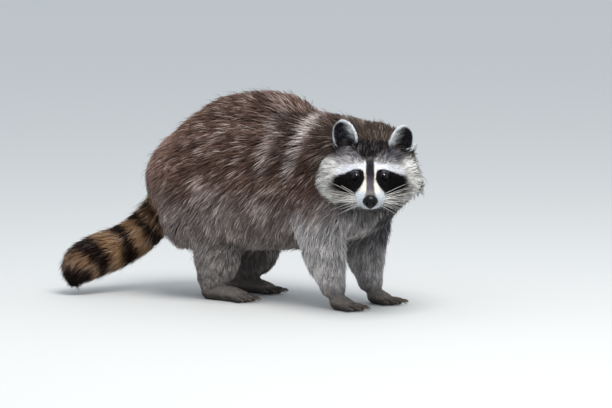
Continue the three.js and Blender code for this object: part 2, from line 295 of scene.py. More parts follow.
def rounded(path, pieces, rounds):
    """A smooth line through the path's points, with this many pieces to each step."""
    ends = np.vstack((2 * path[0] - path[1], path, 2 * path[-1] - path[-2]))
    line = []
    for a, b, c, d in zip(ends[:-3], ends[1:-2], ends[2:-1], ends[3:]):
        for t in np.arange(pieces) / pieces:
            curve = (2 * a - 5 * b + 4 * c - d) * t ** 2 + (3 * b - a - 3 * c + d) * t ** 3
            line.append((2 * b + (c - a) * t + curve) / 2)
    line = np.array(line + [path[-1]])
    for _ in range(rounds):
        line[1:-1] = .25 * line[:-2] + .5 * line[1:-1] + .25 * line[2:]
    return line


anchors = np.array(mirrored(BODY_LIE, body_side) + mirrored(HEAD_LIE, head_side))
tail_line = rounded(TAIL_PATH, 8, 3)
tail_steps = np.diff(tail_line, axis=0)
tail_lengths = np.linalg.norm(tail_steps, axis=1)
tail_starts = np.concatenate(((0,), np.cumsum(tail_lengths)[:-1]))


def along_tail(points):
    """For each point: how far along the tail from its root, how far off its middle, and its run."""
    best = np.full(len(points), 1e9)
    reach = np.zeros(len(points))
    run = np.zeros((len(points), 3))
    for start, step, length, begun in zip(tail_line[:-1], tail_steps, tail_lengths, tail_starts):
        t = np.clip(((points - start) @ step) / length ** 2, 0, 1)
        off = np.linalg.norm(points - start - t[:, None] * step, axis=1)
        closer = off < best
        best[closer] = off[closer]
        reach[closer] = (begun + t * length)[closer]
        run[closer] = step / length
    return reach, best, run


# each ear's own axes: out of its hollow, from the solid's flattest way, up to the tip, and across
EAR_TIP_OUT, EAR_TIP_BACK = .24, .12
EAR_DISH = 8.2
ear_shape = {}
for side in SIDES:
    corners = body_frame(points_of(frame["nodes"][f"ear_{side}"].data))
    ear_centre = corners.mean(axis=0)
    axes = np.linalg.svd(corners - ear_centre, full_matrices=False)[2]
    ear_front = axes[2] * np.sign(axes[2] @ -head_back)
    tip_out = EAR_TIP_OUT if side == "left" else -EAR_TIP_OUT
    ear_lean = head_up + head_back * EAR_TIP_BACK + head_left * tip_out
    ear_tip = unit(ear_lean - ear_front * (ear_lean @ ear_front))
    ear_across = np.cross(ear_tip, ear_front)
    ear_axes = np.array((ear_across, ear_front, ear_tip))
    ear_reach = ((corners - ear_centre) @ ear_axes.T).max(axis=0)
    ear_low = ((corners - ear_centre) @ ear_axes.T).min(axis=0)
    ear_shape[side] = (ear_centre, ear_axes, ear_low, ear_reach)


def in_ear(points, side):
    """Place in one ear: across and up as shares of its size, and how far it stands off its plane."""
    centre, axes, low, high = ear_shape[side]
    local = (points - centre) @ axes.T
    half_wide = (high[0] - low[0]) / 2
    across = (local[:, 0] - (high[0] + low[0]) / 2) / half_wide
    height = (local[:, 2] - low[2]) / (high[2] - low[2])
    return across, height, local[:, 1]


def in_hollow(across, height, off_plane):
    """True on the front of an ear, which is dished: deepest low down in its middle."""
    return off_plane > -EAR_DISH * (1 - height) * (1 - .75 * across ** 2)


def comb(points, part):
    """The lie, tuft length and coat depth at each point of the hide."""
    away = np.linalg.norm(points[:, None, :] - anchors[None, :, :3], axis=2) + LIE_SOFTNESS
    weight = away ** LIE_FALL
    weight /= weight.sum(axis=1, keepdims=True)
    lie = unit(weight @ anchors[:, 3:6])
    length = weight @ anchors[:, 6]
    depth = weight @ anchors[:, 7]
    on_tail = np.isin(part, TAIL_PARTS)
    lie[on_tail] = along_tail(points)[2][on_tail]
    length[on_tail] = TAIL_TUFT
    depth[on_tail] = TAIL_COAT
    on_paw = np.isin(part, PAW_PARTS)
    length[on_paw] = PAW_TUFT
    depth[on_paw] = PAW_COAT
    for side in SIDES:
        on_ear = part == FLESH.index(f"ear_{side}")
        across, height, off_plane = in_ear(points, side)
        outward = across if side == "left" else -across
        fringe = on_ear & (np.hypot(across, (height - .5) / .52 * (height > .5)) > .8)
        inner = on_ear & in_hollow(across, height, off_plane) & (outward < -.1) & ~fringe
        tip, wide = ear_shape[side][1][2], ear_shape[side][1][0]
        lie[on_ear] = tip
        lie[fringe] = unit(tip + wide * across[fringe, None] * .7)
        lie[inner] = unit(tip * .7 + wide * (1 if side == "left" else -1))
        length[on_ear], depth[on_ear] = EAR_TUFT, EAR_COAT
        length[fringe], depth[fringe] = EAR_FRINGE, EAR_FRINGE_COAT
        length[inner], depth[inner] = EAR_INNER, EAR_INNER_COAT
    return lie, length, depth


def tree_of(mesh, points):
    """A tree of the mesh's triangles, with its points at these places, to measure against."""
    mesh.calc_loop_triangles()
    return BVHTree.FromPolygons([Vector(p) for p in points], [t.vertices for t in mesh.loop_triangles])


part_trees = []
for name in FLESH:
    part_mesh = frame["nodes"][name].data
    part_trees.append(tree_of(part_mesh, points_of(part_mesh)))


def nearest_part(points):
    """The index in FLESH of the solid nearest to each point."""
    place = [Vector(p) for p in points]
    away = np.array([[tree.find_nearest(p)[3] for p in place] for tree in part_trees])
    return away.argmin(axis=0)


def even_out(values, mesh, rounds):
    """Averages a value over each point's neighbours, so that one lie of hair runs into the next."""
    ends = np.empty(len(mesh.edges) * 2, dtype=np.int32)
    mesh.edges.foreach_get("vertices", ends)
    a, b = ends[0::2], ends[1::2]
    count = np.bincount(ends, minlength=len(values))[:, None]
    for _ in range(rounds):
        total = np.zeros_like(values)
        for k in range(values.shape[1]):
            total[:, k] = np.bincount(a, values[b, k], len(values))
            total[:, k] += np.bincount(b, values[a, k], len(values))
        values = values * .4 + .6 * total / np.maximum(count, 1)
    return values


def lie_of(mesh, rounds):
    """For each point of the hide: the solid it lies on, the hair's lie and length, the coat's depth."""
    place = points_of(mesh)
    part = nearest_part(place)
    lie, length, depth = comb(body_frame(place), part)
    field = even_out(np.column_stack((lie, length, depth)), mesh, rounds)
    return part, unit(field[:, :3]), field[:, 3], field[:, 4]


hide = copy_nodes(FLESH, "hide")
edit_all(hide)
bpy.ops.transform.shrink_fatten(value=JOIN_FATTER * MM)
bpy.ops.object.mode_set(mode="OBJECT")
apply_modifier(hide, "REMESH", mode="VOXEL", voxel_size=HIDE_VOXEL * MM, use_smooth_shade=True)

# strong smoothing under the long coat, hardly any on ears, muzzle and paws
part, lie, length, depth = lie_of(hide.data, 6)
soft = hide.vertex_groups.new(name="soft")
share = np.clip((depth - .5) / 9, .04, 1)
for tenths in range(1, 11):
    chosen = np.nonzero((share > (tenths - 1) / 10) & (share <= tenths / 10))[0]
    if len(chosen):
        soft.add(chosen.tolist(), tenths / 10, "REPLACE")
# the closed outer form is kept, to measure the coat's room against
outer_form = tree_of(hide.data, body_frame(points_of(hide.data)))
apply_modifier(hide, "SMOOTH", factor=.6, iterations=18, vertex_group="soft")
put_points(hide.data, points_of(hide.data) - normals_of(hide.data) * depth[:, None] * MM)
apply_modifier(hide, "REMESH", mode="VOXEL", voxel_size=HIDE_VOXEL * MM, use_smooth_shade=True)
apply_modifier(hide, "SMOOTH", factor=.5, iterations=2)

# the body needs far fewer faces than the paws, ears and face do
part, lie, length, depth = lie_of(hide.data, 2)
plain = hide.vertex_groups.new(name="plain")
plain.add(np.nonzero(depth > DEEP_COAT)[0].tolist(), 1, "REPLACE")
apply_modifier(hide, "DECIMATE", ratio=HIDE_THINNED, vertex_group="plain")


def make_finer(chosen):
    """Cuts each of the chosen faces of the hide in four."""
    pick(hide, "FACE", chosen)
    bpy.ops.mesh.subdivide(number_cuts=1, smoothness=0)
    bpy.ops.object.mode_set(mode="OBJECT")


# the face gets a finer mesh, for the lips, the lids' seats and the edges of the mask
for reach_back, reach_out in ((26, 60), (6, 32)):
    seen = head_frame(body_frame(read(hide.data.polygons, "center")))
    make_finer((seen[:, 1] < reach_back) & (np.abs(seen[:, 0]) < reach_out) & (seen[:, 2] > -52))
hide.vertex_groups.clear()

# the paws come back out to their solids, so that the claws stand in the toes, and the toes part from
# one another: a groove runs back between each two claws
TOE_FAN, TOE_REACH, TOE_TOP = 70, 25, 34
GROOVE_HALF, GROOVE_DEEP = 1.8, 2.6
PAW_NEAR, PAW_FAR, PAW_SNAP, PAW_HOLD = 34, 50, 4.5, .9
toe_gaps, paws = [], []
for foot in FEET:
    for side in SIDES:
        claw_spots = np.array([middle(f"claw_{foot}_{side}_{n}") for n in range(1, 6)])
        paws.append((part_trees[FLESH.index(f"{foot}_{side}")], claw_spots.mean(axis=0)))
        forward = unit((claw_spots.mean(axis=0) - middle(f"{foot}_{side}")) * (1, 1, 0))
        heel = claw_spots.mean(axis=0) - forward * TOE_FAN
        for one, other in zip(claw_spots[:-1], claw_spots[1:]):
            gap = (one + other) / 2
            toe_gaps.append((gap, unit((heel - gap) * (1, 1, 0))))
face_centres = body_frame(read(hide.data.polygons, "center"))
by_toes = np.zeros(len(face_centres), dtype=bool)
for gap, back in toe_gaps:
    by_toes |= np.linalg.norm(face_centres - gap - back * TOE_REACH / 2, axis=1) < TOE_REACH / 2 + 3
make_finer(by_toes & (face_centres[:, 2] > 2))
place = body_frame(points_of(hide.data))
for tree, toe_end in paws:
    away = np.linalg.norm(place - toe_end, axis=1)
    follow = 1 - ease(away, PAW_NEAR, PAW_FAR)
    for index in np.nonzero(away < PAW_FAR)[0]:
        spot = tree.find_nearest(Vector(room_frame(place[index])), PAW_SNAP * MM)[0]
        if spot is not None:
            place[index] += (body_frame(np.array(spot)) - place[index]) * follow[index] * PAW_HOLD
groove = np.zeros(len(place))
for gap, back in toe_gaps:
    along = (place - gap) @ back
    beside = np.linalg.norm((place - gap - along[:, None] * back)[:, :2], axis=1)
    wide = GROOVE_HALF * (1.25 - .5 * ease(along, 0, TOE_REACH))
    cut = np.clip(1 - (beside / wide) ** 2, 0, 1) * (1 - ease(along, TOE_REACH * .45, TOE_REACH))
    cut = cut * ease(place[:, 2], 1, 4)
    groove = np.maximum(groove, cut * (along > -8) * (place[:, 2] < TOE_TOP))
place -= np.array((0, 0, GROOVE_DEEP)) * groove[:, None]
put_points(hide.data, room_frame(place))

# a hollow in front of each eye, a ridge over it, and the slit of the mouth
HOLLOW_AT, HOLLOW_WIDE, HOLLOW_DEEP = (21, -9), (9, 8), 2.4
RIDGE_AT, RIDGE_WIDE, RIDGE_HIGH = (22, 9.5), (12, 6), 1.8
MOUTH_FRONT, MOUTH_BACK = (-46, -31), (6, -36)
LIP_HALF, LIP_CUT = 1.8, 1.5
place = points_of(hide.data)
seen = head_frame(body_frame(place))
in_front = (seen[:, 1] < 22) & ((normals_of(hide.data) @ head_back) < .3)


def mound(centre, wide):
    """1 at this place on each half of the face, and falling away over this width and height."""
    beside = (np.abs(seen[:, 0]) - centre[0]) / wide[0]
    above = (seen[:, 2] - centre[1]) / wide[1]
    return np.exp(-beside ** 2 - above ** 2) * in_front


sunk = HOLLOW_DEEP * mound(HOLLOW_AT, HOLLOW_WIDE) - RIDGE_HIGH * mound(RIDGE_AT, RIDGE_WIDE)
place += head_back * (sunk * MM)[:, None]

# the skin round each eye rises to the rims of the lids, and sinks clear of the eyeball inside them
SOCKET_RIM, SOCKET_AHEAD, SOCKET_SLOPE, EYE_CLEAR = 7.4, 3.6, .42, 1.6
for side in SIDES:
    from_eye = body_frame(place) - eye_middle[side]
    ahead = from_eye @ GAZE
    off_axis = np.linalg.norm(from_eye - ahead[:, None] * GAZE, axis=1)
    wanted = SOCKET_AHEAD - SOCKET_SLOPE * (off_axis - SOCKET_RIM)
    lift = np.clip(wanted - ahead, 0, 6) * ease(off_axis, SOCKET_RIM - .5, SOCKET_RIM + .3)
    lift *= (1 - ease(off_axis, 11, 16)) * ease(normals_of(hide.data) @ GAZE, .05, .4) * (np.abs(ahead) < 14)
    place += GAZE * (even_out(lift[:, None], hide.data, 2) * MM)
    ball = np.sqrt(np.maximum(EYE_RADIUS ** 2 - off_axis ** 2, 0)) - EYE_CLEAR
    on_ball = (off_axis < SOCKET_RIM - .5) * (ahead > -2) * (ahead < 12)
    place -= GAZE * (np.clip(ahead - ball, 0, 6) * on_ball * MM)[:, None]
lip_line = np.interp(seen[:, 1], (MOUTH_FRONT[0], MOUTH_BACK[0]), (MOUTH_FRONT[1], MOUTH_BACK[1]))
lip_off = np.abs(seen[:, 2] - lip_line) / LIP_HALF
lip_cut = np.clip(1 - lip_off ** 2, 0, 1) ** 2 * (1 - ease(seen[:, 1], 0, 8)) * (np.abs(seen[:, 0]) < 30)
place -= normals_of(hide.data) * (lip_cut * LIP_CUT * MM)[:, None]
put_points(hide.data, place)


# ---- The markings ----
# Hide and hair carry the same colours: a black mask between white brows and a white muzzle, pale
# cheek ruffs, a grizzled brown-grey body, paler legs, and a tail ringed in black and tan.
def hue(code):
    """A colour in linear light from its usual code."""
    channels = np.array([int(code[i:i + 2], 16) for i in (1, 3, 5)]) / 255
    return np.where(channels <= .04045, channels / 12.92, ((channels + .055) / 1.055) ** 2.4)


BODY_BROWN, RUMP_BROWN, LOW_GREY = hue("#634c43"), hue("#765a4e"), hue("#847774")
BELLY_GREY, CHEST_GREY, THROAT_DARK_AND_SHADOW = hue("#7d746f"), hue("#767477"), hue("#2b2a2c")
LEG_GREY, THIGH_GREY, FOOT_GREY, TOE_DARK = hue("#bbb6b5"), hue("#827b78"), hue("#6f6863"), hue("#3d3734")
BAND_PALE, BAND_DARK, NECK_BROWN = hue("#c4bcb8"), hue("#2f2622"), hue("#42362f")
RUFF_CREAM, BROW_WHITE, MUZZLE_WHITE = hue("#dcd9d4"), hue("#e6e6ec"), hue("#cdd3d8")
MASK_BLACK, FRINGE_BROWN, CROWN_BROWN = hue("#040406"), hue("#382b21"), hue("#362c27")
FOREHEAD_DARK, FOREHEAD_GREY = hue("#100e11"), hue("#65636c")
MUZZLE_CREAM, BRIDGE_DARK = hue("#e9dfd2"), hue("#1d1a1f")
BRIDGE_GREY, BRIDGE_PALE = hue("#5b535a"), hue("#877f7c")
EAR_INSIDE, EAR_BACK, EAR_RIM = hue("#19181c"), hue("#564c45"), hue("#e4e9ec")
TAIL_BLACK, TAIL_TAN, TAIL_RUSTY = hue("#170b06"), hue("#a48260"), hue("#6a4a34")

# outlines on one half of the face, as (out from the middle, height), seen from straight in front
BROW_EDGE = [(5.4, 21), (9, 20), (13, 17.5), (22, 17.5), (34, 17), (43, 14.5), (50, 9.5), (54, 3.5), (51, -1),
             (46, 0), (33, 4), (22, 7), (13.5, 8), (10, 3), (8.6, -4), (7.5, -13), (5, -13), (5.6, 0)]
MASK_EDGE = [(15, 9.6), (10.5, 8.5), (8.2, 3), (7.6, -5), (11, -13), (17.5, -21), (22.5, -27), (28, -29),
             (36, -28.5), (45, -25), (52, -20), (56, -13.5), (57.5, -7), (56, -2), (52, 0), (44, 2),
             (31, 6.4), (21, 9.4)]
MUZZLE_EDGE = [(3.6, -12), (8, -13.5), (14, -18), (20, -24.5), (24.4, -31), (25, -37), (22, -43), (15, -48),
               (0, -51.5), (0, -27), (4.5, -25)]
RUFF_EDGE = [(-9, 70), (70, 70), (100, 40), (104, 0), (96, -20), (84, -30), (68, -37), (50, -41), (34, -43.5),
             (22, -48), (-9, -50)]
BRIDGE_EDGE = [(-4, 26), (5.8, 24), (6.6, 0), (5.6, -13), (6.4, -24), (8.5, -30), (-4, -32)]
FOREHEAD_EDGE = [(-12, 17), (7, 18), (14, 23), (19, 32), (27, 40), (37, 46), (34, 54), (-12, 59)]
GREY_TICK_EDGE = [(10, 22), (30, 18), (50, 15), (52, 28), (44, 42), (30, 44), (18, 36)]
# the straps over the shoulder: tint, strength, how far behind the main one, and where the edge fades
BAND_Y, BAND_TOP, BAND_FOOT = -42, 282, 176
STRAPS = [(BAND_DARK, .65, 24, (4, 18)), (BAND_DARK, .5, -26, (4, 18)),
          (BAND_PALE, .22, 46, (3, 14)), (BAND_PALE, .58, 0, (4, 12))]
# where the dark rings of the tail begin and end along it
TAIL_RINGS = [(58, 69), (82, 101), (130, 150), (185, 211), (230, 400)]


def inside(out, height, edge, blur):
    """1 inside the closed outline and 0 outside it, with an edge as soft as blur."""
    corners = np.array(edge, float)
    crossings = np.zeros(len(out), dtype=bool)
    nearest = np.full(len(out), 1e9)
    for start, end in zip(corners, np.roll(corners, -1, axis=0)):
        run = end - start
        t = np.clip(((out - start[0]) * run[0] + (height - start[1]) * run[1]) / (run @ run), 0, 1)
        nearest = np.minimum(nearest, np.hypot(out - start[0] - t * run[0], height - start[1] - t * run[1]))
        spans = (start[1] > height) != (end[1] > height)
        lean = np.where(spans, start[0] + (height - start[1]) * run[0] / (run[1] if run[1] else 1), -1e9)
        crossings ^= spans & (out < lean)
    return ease(np.where(crossings, nearest, -nearest), -blur, blur)


def lay(colour, tint, mask):
    """The colours with this tint laid over them where the mask is 1."""
    return colour + (tint - colour) * np.clip(mask, 0, 1)[:, None]


lattice = np.random.default_rng(11).random((32, 32, 32))


def mottle(points, size):
    """Smooth random values from 0 to 1 with patches about as large as size."""
    grid = points / size + 400
    cell = np.floor(grid).astype(int)
    t = grid - cell
    t = t * t * (3 - 2 * t)
    total = 0
    for dx in (0, 1):
        for dy in (0, 1):
            for dz in (0, 1):
                near = lattice[(cell[:, 0] + dx) % 32, (cell[:, 1] + dy) % 32, (cell[:, 2] + dz) % 32]
                weight = np.abs(1 - dx - t[:, 0]) * np.abs(1 - dy - t[:, 1]) * np.abs(1 - dz - t[:, 2])
                total = total + near * weight
    return total


def body_markings(points, wander):
    """Brown-grey back, greyer flanks and chest, the straps, paler legs and dark toes."""
    x, y, z = points.T
    off_middle = np.abs(x)
    colour = np.tile(BODY_BROWN, (len(points), 1))
    colour = lay(colour, RUMP_BROWN, ease(y + wander * 30, 110, 210))
    colour = colour * (1 - .2 * ease(z, 235, 300))[:, None]
    colour = lay(colour, LOW_GREY, 1 - ease(z + wander * 40, 110, 190))
    colour = lay(colour, NECK_BROWN, (1 - ease(y, -90, -66)) * ease(z, 168, 205))
    colour = lay(colour, CHEST_GREY, (1 - ease(y, -150, -90)) * (1 - ease(z, 160, 200)))
    # the throat is dark: partly its own dark patch, partly painted shadow under the head
    throat_and_head_shadow = (1 - ease(y, -144, -118)) * (1 - ease(z, 176, 196)) * ease(z, 96, 130)
    colour = lay(colour, THROAT_DARK_AND_SHADOW, .92 * throat_and_head_shadow)
    colour = lay(colour, BELLY_GREY, (1 - ease(z, 88, 112)) * (1 - ease(off_middle, 40, 75)))
    # the pale strap over the shoulder with a dark one on each side, and a weaker pale one behind;
    # all are faint on the left
    from_strap = y - (BAND_Y - (z - 230) * .06 + wander * 8)
    strap_run = ease(z, BAND_FOOT, BAND_FOOT + 30) * (1 - ease(z, BAND_TOP, BAND_TOP + 22))
    strap_run = strap_run * (1 - .75 * ease(x, -10, 40))
    for tint, strength, behind, edge in STRAPS:
        colour = lay(colour, tint, strength * strap_run * (1 - ease(np.abs(from_strap - behind), *edge)))
    # legs and feet; the upper left foreleg is painted darker: painted shade behind the chest
    fore = (y < -40) & (z < 150) & (off_middle > 12)
    fore_grey_and_shade = LEG_GREY + (CHEST_GREY * .62 - LEG_GREY) * (ease(x, -10, 10) * ease(z, 40, 100))[:, None]
    colour = colour + (fore_grey_and_shade - colour) * (fore * (1 - ease(z, 100, 150)))[:, None]
    hind = (y > 40) & (z < 110)
    colour = lay(colour, THIGH_GREY, hind * (1 - ease(z, 60, 110)))
    foot = 1 - ease(z, 14, 40)
    colour = lay(colour, FOOT_GREY, foot)
    colour = lay(colour, TOE_DARK, (1 - ease(z, 6, 12)) * .8)
    return colour, 1 - .5 * foot


def tail_markings(points, wander, colour, ticking):
    """Dark rings on tan, with rusty edges, and a darker upper side."""
    y, z = points[:, 1], points[:, 2]
    reach, off, _ = along_tail(points)
    tail_half = 30 + reach * .3
    tail = ease(reach, 14, 34) * (1 - ease(off, tail_half, tail_half + 10)) * (y > 205)
    ring, near_ring = np.zeros(len(points)), np.zeros(len(points))
    shifted = reach + wander * 9 + (mottle(points, 6) - .5) * 5
    for start, end in TAIL_RINGS:
        this_ring = ease(shifted, start - 4, start + 4) * (1 - ease(shifted, end - 4, end + 4))
        ring = np.maximum(ring, this_ring)
        this_edge = ease(shifted, start - 14, start) * (1 - ease(shifted, end, end + 14))
        near_ring = np.maximum(near_ring, this_edge)
    pale = TAIL_TAN + (TAIL_RUSTY - TAIL_TAN) * .5 * ease(wander[:, None], -.3, .3)
    top_shade = 1 - .35 * ease(z - np.interp(y, TAIL_PATH[:, 1], TAIL_PATH[:, 2]), 8, 26)
    pale = pale + (TAIL_RUSTY * .8 - pale) * (.75 * near_ring)[:, None]
    colour = colour + (pale * top_shade[:, None] - colour) * tail[:, None]
    return lay(colour, TAIL_BLACK, tail * ring), ticking * (1 - .45 * tail)


def head_markings(points, colour, ticking):
    """The mask, brows, muzzle, bridge, forehead, crown and ruffs, laid one over another."""
    side, back, up = head_frame(points).T
    out = np.abs(side)
    # the height as it looks from straight in front
    height = .945 * up + .326 * back
    from_middle = np.sqrt((side / 98) ** 2 + ((back - 18) / 76) ** 2 + ((up + 22) / 80) ** 2)
    in_head = 1 - ease(from_middle, .9, 1.04)
    face = np.tile(RUFF_CREAM, (len(points), 1))
    face_tick = np.full(len(points), .75)
    ragged = (mottle(points, 5) - .5) * 1.2
    ragged_out, ragged_height = out + ragged, height + ragged
    face = lay(face, CROWN_BROWN, ease(back + (up - 20) * .5 - out * .25, 22, 38) * ease(up, -6, 20))
    face = lay(face, NECK_BROWN, ease(back, 62, 78) * ease(up, -40, -10))
    face = lay(face, CHEST_GREY, ease(back, 50, 80) * (1 - ease(up, -50, -20)) * .8)
    # grey low under the jaw: painted shade under the head, over a chin that is paler
    face = lay(face, CHEST_GREY, .6 * (1 - ease(ragged_height, -42, -28)) * (1 - ease(out, 40, 80)))
    ruff = inside(ragged_out, ragged_height, RUFF_EDGE, 6)
    # outside the ruff, the dark throat with painted shadow under the head
    face = lay(face, THROAT_DARK_AND_SHADOW, (1 - ruff) * (1 - ease(back, 40, 70)))
    grey_tick = inside(ragged_out, ragged_height, GREY_TICK_EDGE, 7)
    forehead = inside(ragged_out, ragged_height, FOREHEAD_EDGE, 8)
    face = lay(face, FOREHEAD_GREY, grey_tick * .85)
    face = lay(face, FOREHEAD_DARK, forehead * .92)
    fringe = inside(ragged_out - 7, ragged_height + 8, MASK_EDGE, 8)
    face = lay(face, FRINGE_BROWN, fringe * (1 - ease(ragged_height, -6, 4)) * .9)
    brow = inside(ragged_out, ragged_height, BROW_EDGE, 1.8)
    muzzle = inside(out, height, MUZZLE_EDGE, 1.6) * (1 - ease(back, 0, 16))
    mask = inside(ragged_out, ragged_height, MASK_EDGE, 1.6 + 2.4 * ease(out - height, 30, 70))
    on_bridge = inside(out, height, BRIDGE_EDGE, 1.5)
    face = lay(face, BROW_WHITE, brow)
    face = lay(face, MASK_BLACK, mask)
    face = lay(face, MUZZLE_WHITE, muzzle)
    cream = ease(height, -30, -18) * (1 - ease(height, 2, 14)) * (out < 16)
    face = lay(face, MUZZLE_CREAM, cream * (1 - mask))
    bridge = BRIDGE_DARK + (BRIDGE_GREY - BRIDGE_DARK) * (1 - ease(height, -18, 6))[:, None]
    bridge = bridge + (BRIDGE_PALE - bridge) * (1 - ease(height, -29, -19))[:, None]
    face = face + (bridge - face) * on_bridge[:, None]
    face_tick = (face_tick + .5 * np.maximum(grey_tick, forehead)) * (1 - .6 * brow) * (1 - .6 * muzzle)
    face_tick = face_tick * (1 - .8 * np.maximum(mask, .6 * on_bridge))
    return colour + (face - colour) * in_head[:, None], ticking + (face_tick - ticking) * in_head


def ear_markings(points, colour, ticking):
    """Charcoal hollows, pale rims and brown-grey backs."""
    for side in SIDES:
        across, tall, off_plane = in_ear(points, side)
        in_it = (np.abs(across) < 1.12) & (tall < 1.15) & (np.abs(off_plane) < 9.5)
        hollow = in_hollow(across, tall, off_plane)
        in_it = in_it * np.where(hollow, ease(tall, .12, .24), ease(tall, .3, .42))
        rim = np.hypot(across, (tall - .5) / .52 * (tall > .5))
        ear = np.where(hollow[:, None], EAR_INSIDE, EAR_BACK)
        toward_middle = -across if side == "left" else across
        ear = lay(ear, EAR_RIM, .5 * ease(toward_middle, -.05, .6) * ease(tall, .25, .5) * hollow)
        ear = lay(ear, EAR_RIM, ease(rim, .72, .88) * ease(tall, .2, .36))
        colour = colour + (ear - colour) * in_it[:, None]
        ticking = ticking + (np.where(hollow & (rim < .75), 1.6, .5) - ticking) * in_it
    return colour, ticking


def markings(points):
    """The coat's colour at each body point, and how strongly single hairs differ from it there."""
    wander = mottle(points, 26) - .5
    colour, ticking = body_markings(points, wander)
    colour, ticking = tail_markings(points, wander, colour, ticking)
    colour, ticking = head_markings(points, colour, ticking)
    return ear_markings(points, colour, ticking)


def colour_points(mesh, colours):
    """Stores a colour for each point, which the materials of hide and coat read."""
    mesh.color_attributes.new("coat", "FLOAT_COLOR", "POINT")
    opaque = np.column_stack((colours, np.ones(len(colours))))
    mesh.color_attributes["coat"].data.foreach_set("color", opaque.astype(np.float32).ravel())


part, lie, length, depth = lie_of(hide.data, 6)
hide_points = points_of(hide.data)
hide_normals = normals_of(hide.data)
hide_body = body_frame(hide_points)
# the tips of the coat come out to the solids, so its depth is the room that there is
ROOM_FAR = 45
room = np.array([outer_form.ray_cast(Vector(p), Vector(n), ROOM_FAR)[3] or 0
                 for p, n in zip(hide_body, hide_normals)])
coat_room = np.where(room > 0, np.clip(room, .7 * depth, 1.5 * depth + .3), depth)
depth = even_out(coat_room[:, None], hide.data, 4)[:, 0]
hide_normals = unit(even_out(hide_normals, hide.data, 5))
# under a deep coat the skin is darker: partly the darker underfur, partly painted shade between the tufts
under = np.interp(depth, (1, 8), (.85, .42))[:, None]
colour_points(hide.data, markings(hide_body)[0] * under)


# fine hairs: lighter and darker streaks over a colour, and the height they stand up
hair_grain = bpy.data.node_groups.new("hair_grain", "ShaderNodeTree")
GRAIN_SOCKETS = [("INPUT", "Colour", "Color"), ("INPUT", "Place", "Vector"), ("INPUT", "Strength", "Float"),
                 ("OUTPUT", "Colour", "Color"), ("OUTPUT", "Height", "Float")]
for way, label, kind in GRAIN_SOCKETS:
    hair_grain.interface.new_socket(label, in_out=way, socket_type=f"NodeSocket{kind}")
grain_in = hair_grain.nodes.new("NodeGroupInput")
grain_out = hair_grain.nodes.new("NodeGroupOutput")
streaks = hair_grain.nodes.new("ShaderNodeTexNoise")
streaks.inputs["Scale"].default_value = 1
streaks.inputs["Detail"].default_value = 2
hair_grain.links.new(grain_in.outputs["Place"], streaks.inputs["Vector"])
centred = hair_grain.nodes.new("ShaderNodeMath")
centred.operation = "SUBTRACT"
centred.inputs[1].default_value = .5
hair_grain.links.new(streaks.outputs["Fac"], centred.inputs[0])
brightness = hair_grain.nodes.new("ShaderNodeMath")
brightness.operation = "MULTIPLY_ADD"
brightness.inputs[2].default_value = 1
hair_grain.links.new(centred.outputs[0], brightness.inputs[0])
hair_grain.links.new(grain_in.outputs["Strength"], brightness.inputs[1])
streaked = hair_grain.nodes.new("ShaderNodeVectorMath")
streaked.operation = "SCALE"
hair_grain.links.new(grain_in.outputs["Colour"], streaked.inputs[0])
hair_grain.links.new(brightness.outputs[0], streaked.inputs["Scale"])
hair_grain.links.new(streaked.outputs[0], grain_out.inputs["Colour"])
hair_grain.links.new(streaks.outputs["Fac"], grain_out.inputs["Height"])


def new_material(name, roughness, specular=.5):
    """A material, and its nodes, links and shader."""
    material = bpy.data.materials.new(name)
    material.use_nodes = True
    shader = material.node_tree.nodes["Principled BSDF"]
    shader.inputs["Roughness"].default_value = roughness
    shader.inputs["Specular IOR Level"].default_value = specular
    return material, material.node_tree.nodes, material.node_tree.links, shader


def grained(name, along_strand, scale, strength, bump, roughness):
    """A material that takes its colour from the 'coat' attribute and breaks it up into hairs."""
    material, nodes, links, shader = new_material(name, roughness, HAIR_SPECULAR)
    colour = nodes.new("ShaderNodeAttribute")
    colour.attribute_name = "coat"
    if along_strand:
        strand = nodes.new("ShaderNodeAttribute")
        strand.attribute_name = "strand"
        place = strand.outputs["Vector"]
    else:
        place = nodes.new("ShaderNodeTexCoord").outputs["Object"]
    spread = nodes.new("ShaderNodeMapping")
    spread.inputs["Scale"].default_value = scale
    links.new(place, spread.inputs["Vector"])
    grain = nodes.new("ShaderNodeGroup")
    grain.node_tree = hair_grain
    grain.inputs["Strength"].default_value = strength
    links.new(colour.outputs["Color"], grain.inputs["Colour"])
    links.new(spread.outputs["Vector"], grain.inputs["Place"])
    relief = nodes.new("ShaderNodeBump")
    relief.inputs["Strength"].default_value = bump
    relief.inputs["Distance"].default_value = .3 * MM
    links.new(grain.outputs["Height"], relief.inputs["Height"])
    links.new(grain.outputs["Colour"], shader.inputs["Base Color"])
    links.new(relief.outputs["Normal"], shader.inputs["Normal"])
    return material


HAIR_SPECULAR = .08
hide.data.materials.append(grained("under_fur", False, (900, 900, 900), .9, .5, .85))


# ---- The lids ----
# Each eye looks out between two black lids with a bare, rounded rim.  A lid is a thickened shell that
# lies over the eyeball and runs back under the fur, and it is part of the hide.
LID_GAP, LID_THICK = .2, .5
OPEN_OUT, OPEN_UP, OPEN_DOWN = math.radians(68), math.radians(56), math.radians(60)
INNER_CORNER, LID_REACH = math.radians(7), math.radians(100)


def pole_to(axis, across, centre):
    """Turns a shape made round +Z so that its pole points along axis, at a body place."""
    axis, across = unit(np.array(axis)), np.array(across)
    side = unit(across - axis * (across @ axis))
    other = np.cross(axis, side)
    turn = Matrix.Identity(4)
    for row in range(3):
        turn[row][0], turn[row][1], turn[row][2] = side[row], other[row], axis[row]
        turn[row][3] = room_frame(centre)[row]
    return turn


